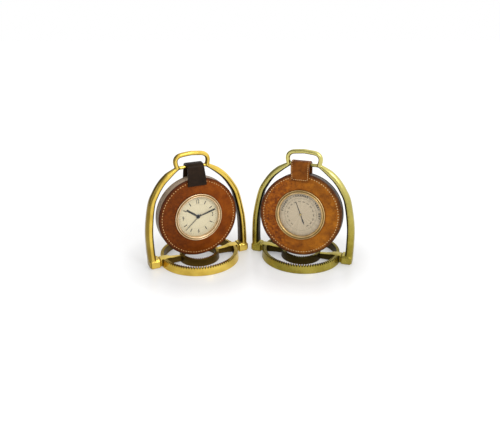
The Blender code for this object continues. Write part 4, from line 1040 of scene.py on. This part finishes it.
def build_hand(name, stand, look, body, node, turn, front, boss, outline):
    """A hand in one piece: its blade and its round boss, joined. It is turned from the top."""
    rear = front + hand_thick
    disc = [(boss * math.sin(math.tau * k / 48), boss * math.cos(math.tau * k / 48))
            for k in range(48)]
    blade = tool(name + "_blade_tool", plate(outline, front, rear, 0.05 * mm))
    round_part = tool(name + "_boss_tool", plate(disc, front - 0.03 * mm, rear, 0.04 * mm))
    matrix = stand["drum"] @ Matrix.Rotation(math.radians(turn), 4, "Y")
    piece(name, united(blade, [round_part]), matrix, look, body, [node], 30.0)


def build_hands():
    hour = in_mm([(-0.7, 0.0), (-1.25, 6.0), (-1.25, 19.1, 0.25), (1.25, 19.1, 0.25), (1.25, 6.0),
                  (0.7, 0.0)])
    build_hand("clock_hour_pointer", clock, "hand_black", "clock_hour", "clock_hour_hand",
               turn=306.1, front=-5.95 * mm, boss=2.5 * mm, outline=rounded(hour, 3))
    minute = in_mm([(-0.6, 0.0), (-1.15, 19.0), (-0.9, 24.7, 0.3), (0.9, 24.7, 0.3), (1.15, 19.0),
                    (0.6, 0.0)])
    build_hand("clock_minute_pointer", clock, "hand_black", "clock_minute", "clock_minute_hand",
               turn=73.2, front=-6.55 * mm, boss=2.4 * mm, outline=rounded(minute, 3))
    second = in_mm([(-0.45, -5.0), (-0.32, 24.3), (0.32, 24.3), (0.45, -5.0)])
    build_hand("clock_seconds_pointer", clock, "hand_black", "clock_seconds", "clock_seconds_hand",
               turn=228.0, front=-7.15 * mm, boss=1.4 * mm, outline=second)
    needle = in_mm([(-0.50, 1.0), (-0.20, 17.8), (0.20, 17.8), (0.50, 1.0), (0.40, -4.0),
                    (0.85, -10.8, 0.8), (0.0, -14.7), (-0.85, -10.8, 0.8), (-0.40, -4.0)])
    build_hand("barometer_needle", barometer, "blued_steel", "barometer_indicator",
               "barometer_pointer", turn=-24.0, front=-5.95 * mm, boss=1.5 * mm,
               outline=rounded(needle, 4))
    hub = in_mm([(0.0, -6.7), (0.8, -6.7, 0.3), (1.35, -6.3, 0.3), (1.35, -5.98), (0.0, -5.98)])
    shape = lathe(rounded(hub, 4, closed=False), 48, closed=False)
    piece("barometer_needle_hub", shape, barometer["drum"], "yellow_brass", "barometer_indicator",
          sharp=40.0)


# Dial printing

def on_dial(angle, radius):
    """A place on the dial, turned with its angle from the top, in degrees."""
    return (Matrix.Rotation(math.radians(angle), 4, "Y")
            @ Matrix.Translation((0.0, print_front, radius)))


def letters(shape, text, size, matrix, heavy, narrow=1.0):
    """Adds printed letters to a bmesh. They read in the (x, z) plane, from the front."""
    curve = bpy.data.curves.new("letters", "FONT")
    curve.body = text
    curve.size = size
    curve.align_x = "CENTER"
    curve.align_y = "CENTER"
    curve.resolution_u = 4
    curve.offset = heavy
    curve.extrude = print_half
    mesh = taken_mesh(add_object("letters", curve))
    mesh.transform(matrix @ Matrix.Rotation(math.radians(90.0), 4, "X")
                   @ Matrix.Diagonal((narrow, 1.0, 1.0, 1.0)))
    add_mesh(shape, mesh)
    bpy.data.curves.remove(curve)


def mark(shape, angle, radius, length, width):
    """Adds a printed stroke that points outwards at an angle from the top."""
    place = on_dial(angle, radius)
    corners = [(x * width / 2, z * length / 2) for x, z in square]
    loft([[place @ Vector((x, deep, z)) for x, z in corners] for deep in (-print_half, print_half)],
         shape=shape)


def printed_ring(shape, radius, width):
    profile = [(radius + x * width / 2, print_front + y * print_half) for x, y in square]
    lathe(profile, fine_steps, shape=shape)


def around(shape, text, size, middle, radius, step, heavy):
    """Writes a word along an arc, its letters upright on it."""
    start = middle - step * (len(text) - 1) / 2
    for index, letter in enumerate(text):
        if letter != " ":
            letters(shape, letter, size, on_dial(start + step * index, radius), heavy)


def print_dial(stand, part, shape, look):
    name = stand["name"]
    piece(f"{name}_dial_{part}", shape, stand["drum"], look, name + "_case", sharp=30.0)


def build_clock_dial():
    ink = bmesh.new()
    for hour, radius in ((0, 20.6 * mm), (3, 20.2 * mm), (6, 20.6 * mm), (9, 20.2 * mm)):
        angle = math.radians(30.0 * hour)
        place = Matrix.Translation((radius * math.sin(angle), print_front, radius * math.cos(angle)))
        letters(ink, str(hour or 12), 7.6 * mm, place, 0.15 * mm, 0.66)
    for hour in (1, 2, 4, 5, 7, 8, 10, 11):
        mark(ink, 30.0 * hour, 20.5 * mm, 4.6 * mm, 1.2 * mm)
    print_dial(clock, "numbers", ink, "dial_ink")
    fine = bmesh.new()
    for minute in range(60):
        length, width = (0.55, 0.28) if minute % 5 else (0.9, 0.5)
        mark(fine, 6.0 * minute, 24.7 * mm, length * mm, width * mm)
    print_dial(clock, "minutes", fine, "soft_ink")
    pale = bmesh.new()
    printed_ring(pale, 17.0 * mm, 0.16 * mm)
    print_dial(clock, "circle", pale, "pale_ink")


def build_barometer_dial():
    word_radius = 24.9 * mm
    scale_start = -142.5
    number_step = 19.0
    mark_step = 3.8
    ink = bmesh.new()
    for word, middle, step in (("STORMY", -66.0, 7.0), ("CHANGE", 0.0, 7.0), ("VERY DRY", 72.0, 6.8)):
        around(ink, word, 3.3 * mm, middle, word_radius, step, 0.2 * mm)
    print_dial(barometer, "words", ink, "dial_ink")
    fine = bmesh.new()
    for word, middle in (("RAIN", -33.0), ("FAIR", 33.0)):
        around(fine, word, 2.4 * mm, middle, word_radius, 5.4, 0.05 * mm)
    for index in range(16):
        place = on_dial(scale_start + number_step * index, 17.2 * mm)
        letters(fine, str(940 + 10 * index), 2.2 * mm, place, 0.05 * mm, 0.85)
    for index in range(76):
        radius, length, width = (20.9, 0.8, 0.18) if index % 5 else (20.6, 1.5, 0.32)
        mark(fine, scale_start + mark_step * index, radius * mm, length * mm, width * mm)
    printed_ring(fine, 21.5 * mm, 0.14 * mm)
    print_dial(barometer, "scale", fine, "soft_ink")


for build in (build_arch, build_tread, build_leathers, build_ring_stitches, build_strap, build_bezel,
              build_dial):
    for stand in (clock, barometer):
        build(stand)
build_hands()
build_clock_dial()
build_barometer_dial()


# Floor, light and surroundings

floor_half = 6.0
floor_level = -0.05 * mm
glow_levels = (0.82, 1.26)
glow_reach = (76.0 * mm, 112.0 * mm)
glow_shares = (0.35, 1.0)
glow_share_reach = (0.30, 0.90)

# What metal and glass mirror: greys from left to right and from below to above
sideways_greys = [(0.0, 0.14), (0.25, 0.24), (0.42, 0.60), (0.6, 0.95), (1.0, 1.0)]
upward_greys = [(0.0, 0.7), (0.5, 0.70), (0.7, 0.95), (1.0, 1.0)]
mirrored_strength = 1.4
ambient_strength = 0.95


def build_floor():
    """White paper that glows where it is seen. It glows less near the stands, which it mirrors."""
    mesh = bpy.data.meshes.new("floor")
    corners = [(x * floor_half, y * floor_half, 0.0) for x, y in square]
    mesh.from_pydata(corners, [], [(0, 1, 2, 3)])
    floor = add_object("floor", mesh)
    floor.location.z = floor_level
    n = Look("floor_paper")
    n.finish(Base_Color=(0.90, 0.90, 0.905), Roughness=0.28)
    place = n.parts(n.place)
    reaches = []
    for stand in (clock, barometer):
        middle = stand["base"].to_translation()
        reaches.append(n.reach(n.math("SUBTRACT", place["X"], middle.x),
                               n.math("SUBTRACT", place["Y"], middle.y)))
    strength = n.span(n.math("MINIMUM", *reaches), *glow_reach, *glow_levels)
    glow = n.add("ShaderNodeEmission", {"Strength": strength}).outputs["Emission"]
    path = n.add("ShaderNodeLightPath").outputs
    seen = n.math("MAXIMUM", path["Is Camera Ray"], path["Is Glossy Ray"])
    seen = n.math("MAXIMUM", seen, path["Is Transmission Ray"])
    share = n.span(n.reach(place["X"], place["Y"]), *glow_share_reach, *glow_shares)
    mix = n.either(n.math("MULTIPLY", seen, share), n.shader.outputs["BSDF"], glow)
    n.put(n.output, "Surface", mix)
    mesh.materials.append(looks["floor_paper"])


def build_world():
    """White to the camera. Metal and glass see white walls, paler above and darker on the left."""
    world = bpy.data.worlds.new("studio")
    bpy.context.scene.world = world
    world.use_nodes = True
    world.node_tree.nodes.clear()
    n = Nodes(world.node_tree)
    output = n.add("ShaderNodeOutputWorld")

    def background(colour, strength):
        inputs = {"Color": colour, "Strength": strength}
        return n.add("ShaderNodeBackground", inputs).outputs["Background"]

    way = n.parts(n.source["Generated"])
    walls = [n.ramp(n.span(way[axis], -1.0, 1.0), [(at, (grey,) * 3) for at, grey in greys])
             for axis, greys in (("X", sideways_greys), ("Z", upward_greys))]
    around_it = background(n.mixed(1.0, *walls, "MULTIPLY"), mirrored_strength)
    ambient = background(white, ambient_strength)
    path = n.add("ShaderNodeLightPath").outputs
    mirrored = n.math("MAXIMUM", path["Is Glossy Ray"], path["Is Transmission Ray"])
    lit = n.either(mirrored, ambient, around_it)
    n.put(output, "Surface", n.either(path["Is Camera Ray"], lit, background(white, 1.0)))


def lamp(name, place, target, size, power):
    data = bpy.data.lights.new(name, "AREA")
    data.shape = "DISK"
    data.size = size
    data.energy = power
    thing = add_object(name, data)
    thing.location = place
    thing.rotation_euler = (Vector(target) - Vector(place)).to_track_quat("-Z", "Y").to_euler()


build_floor()
build_world()
lamp("key", place=(0.45, -0.65, 0.75), target=(0.0, 0.0, 0.06), size=0.35, power=2.4)
lamp("fill", place=(-0.75, -0.55, 0.45), target=(-0.05, 0.0, 0.06), size=0.5, power=0.8)

settings = bpy.context.scene.view_settings
settings.view_transform = "Standard"
bpy.context.view_layer.update()
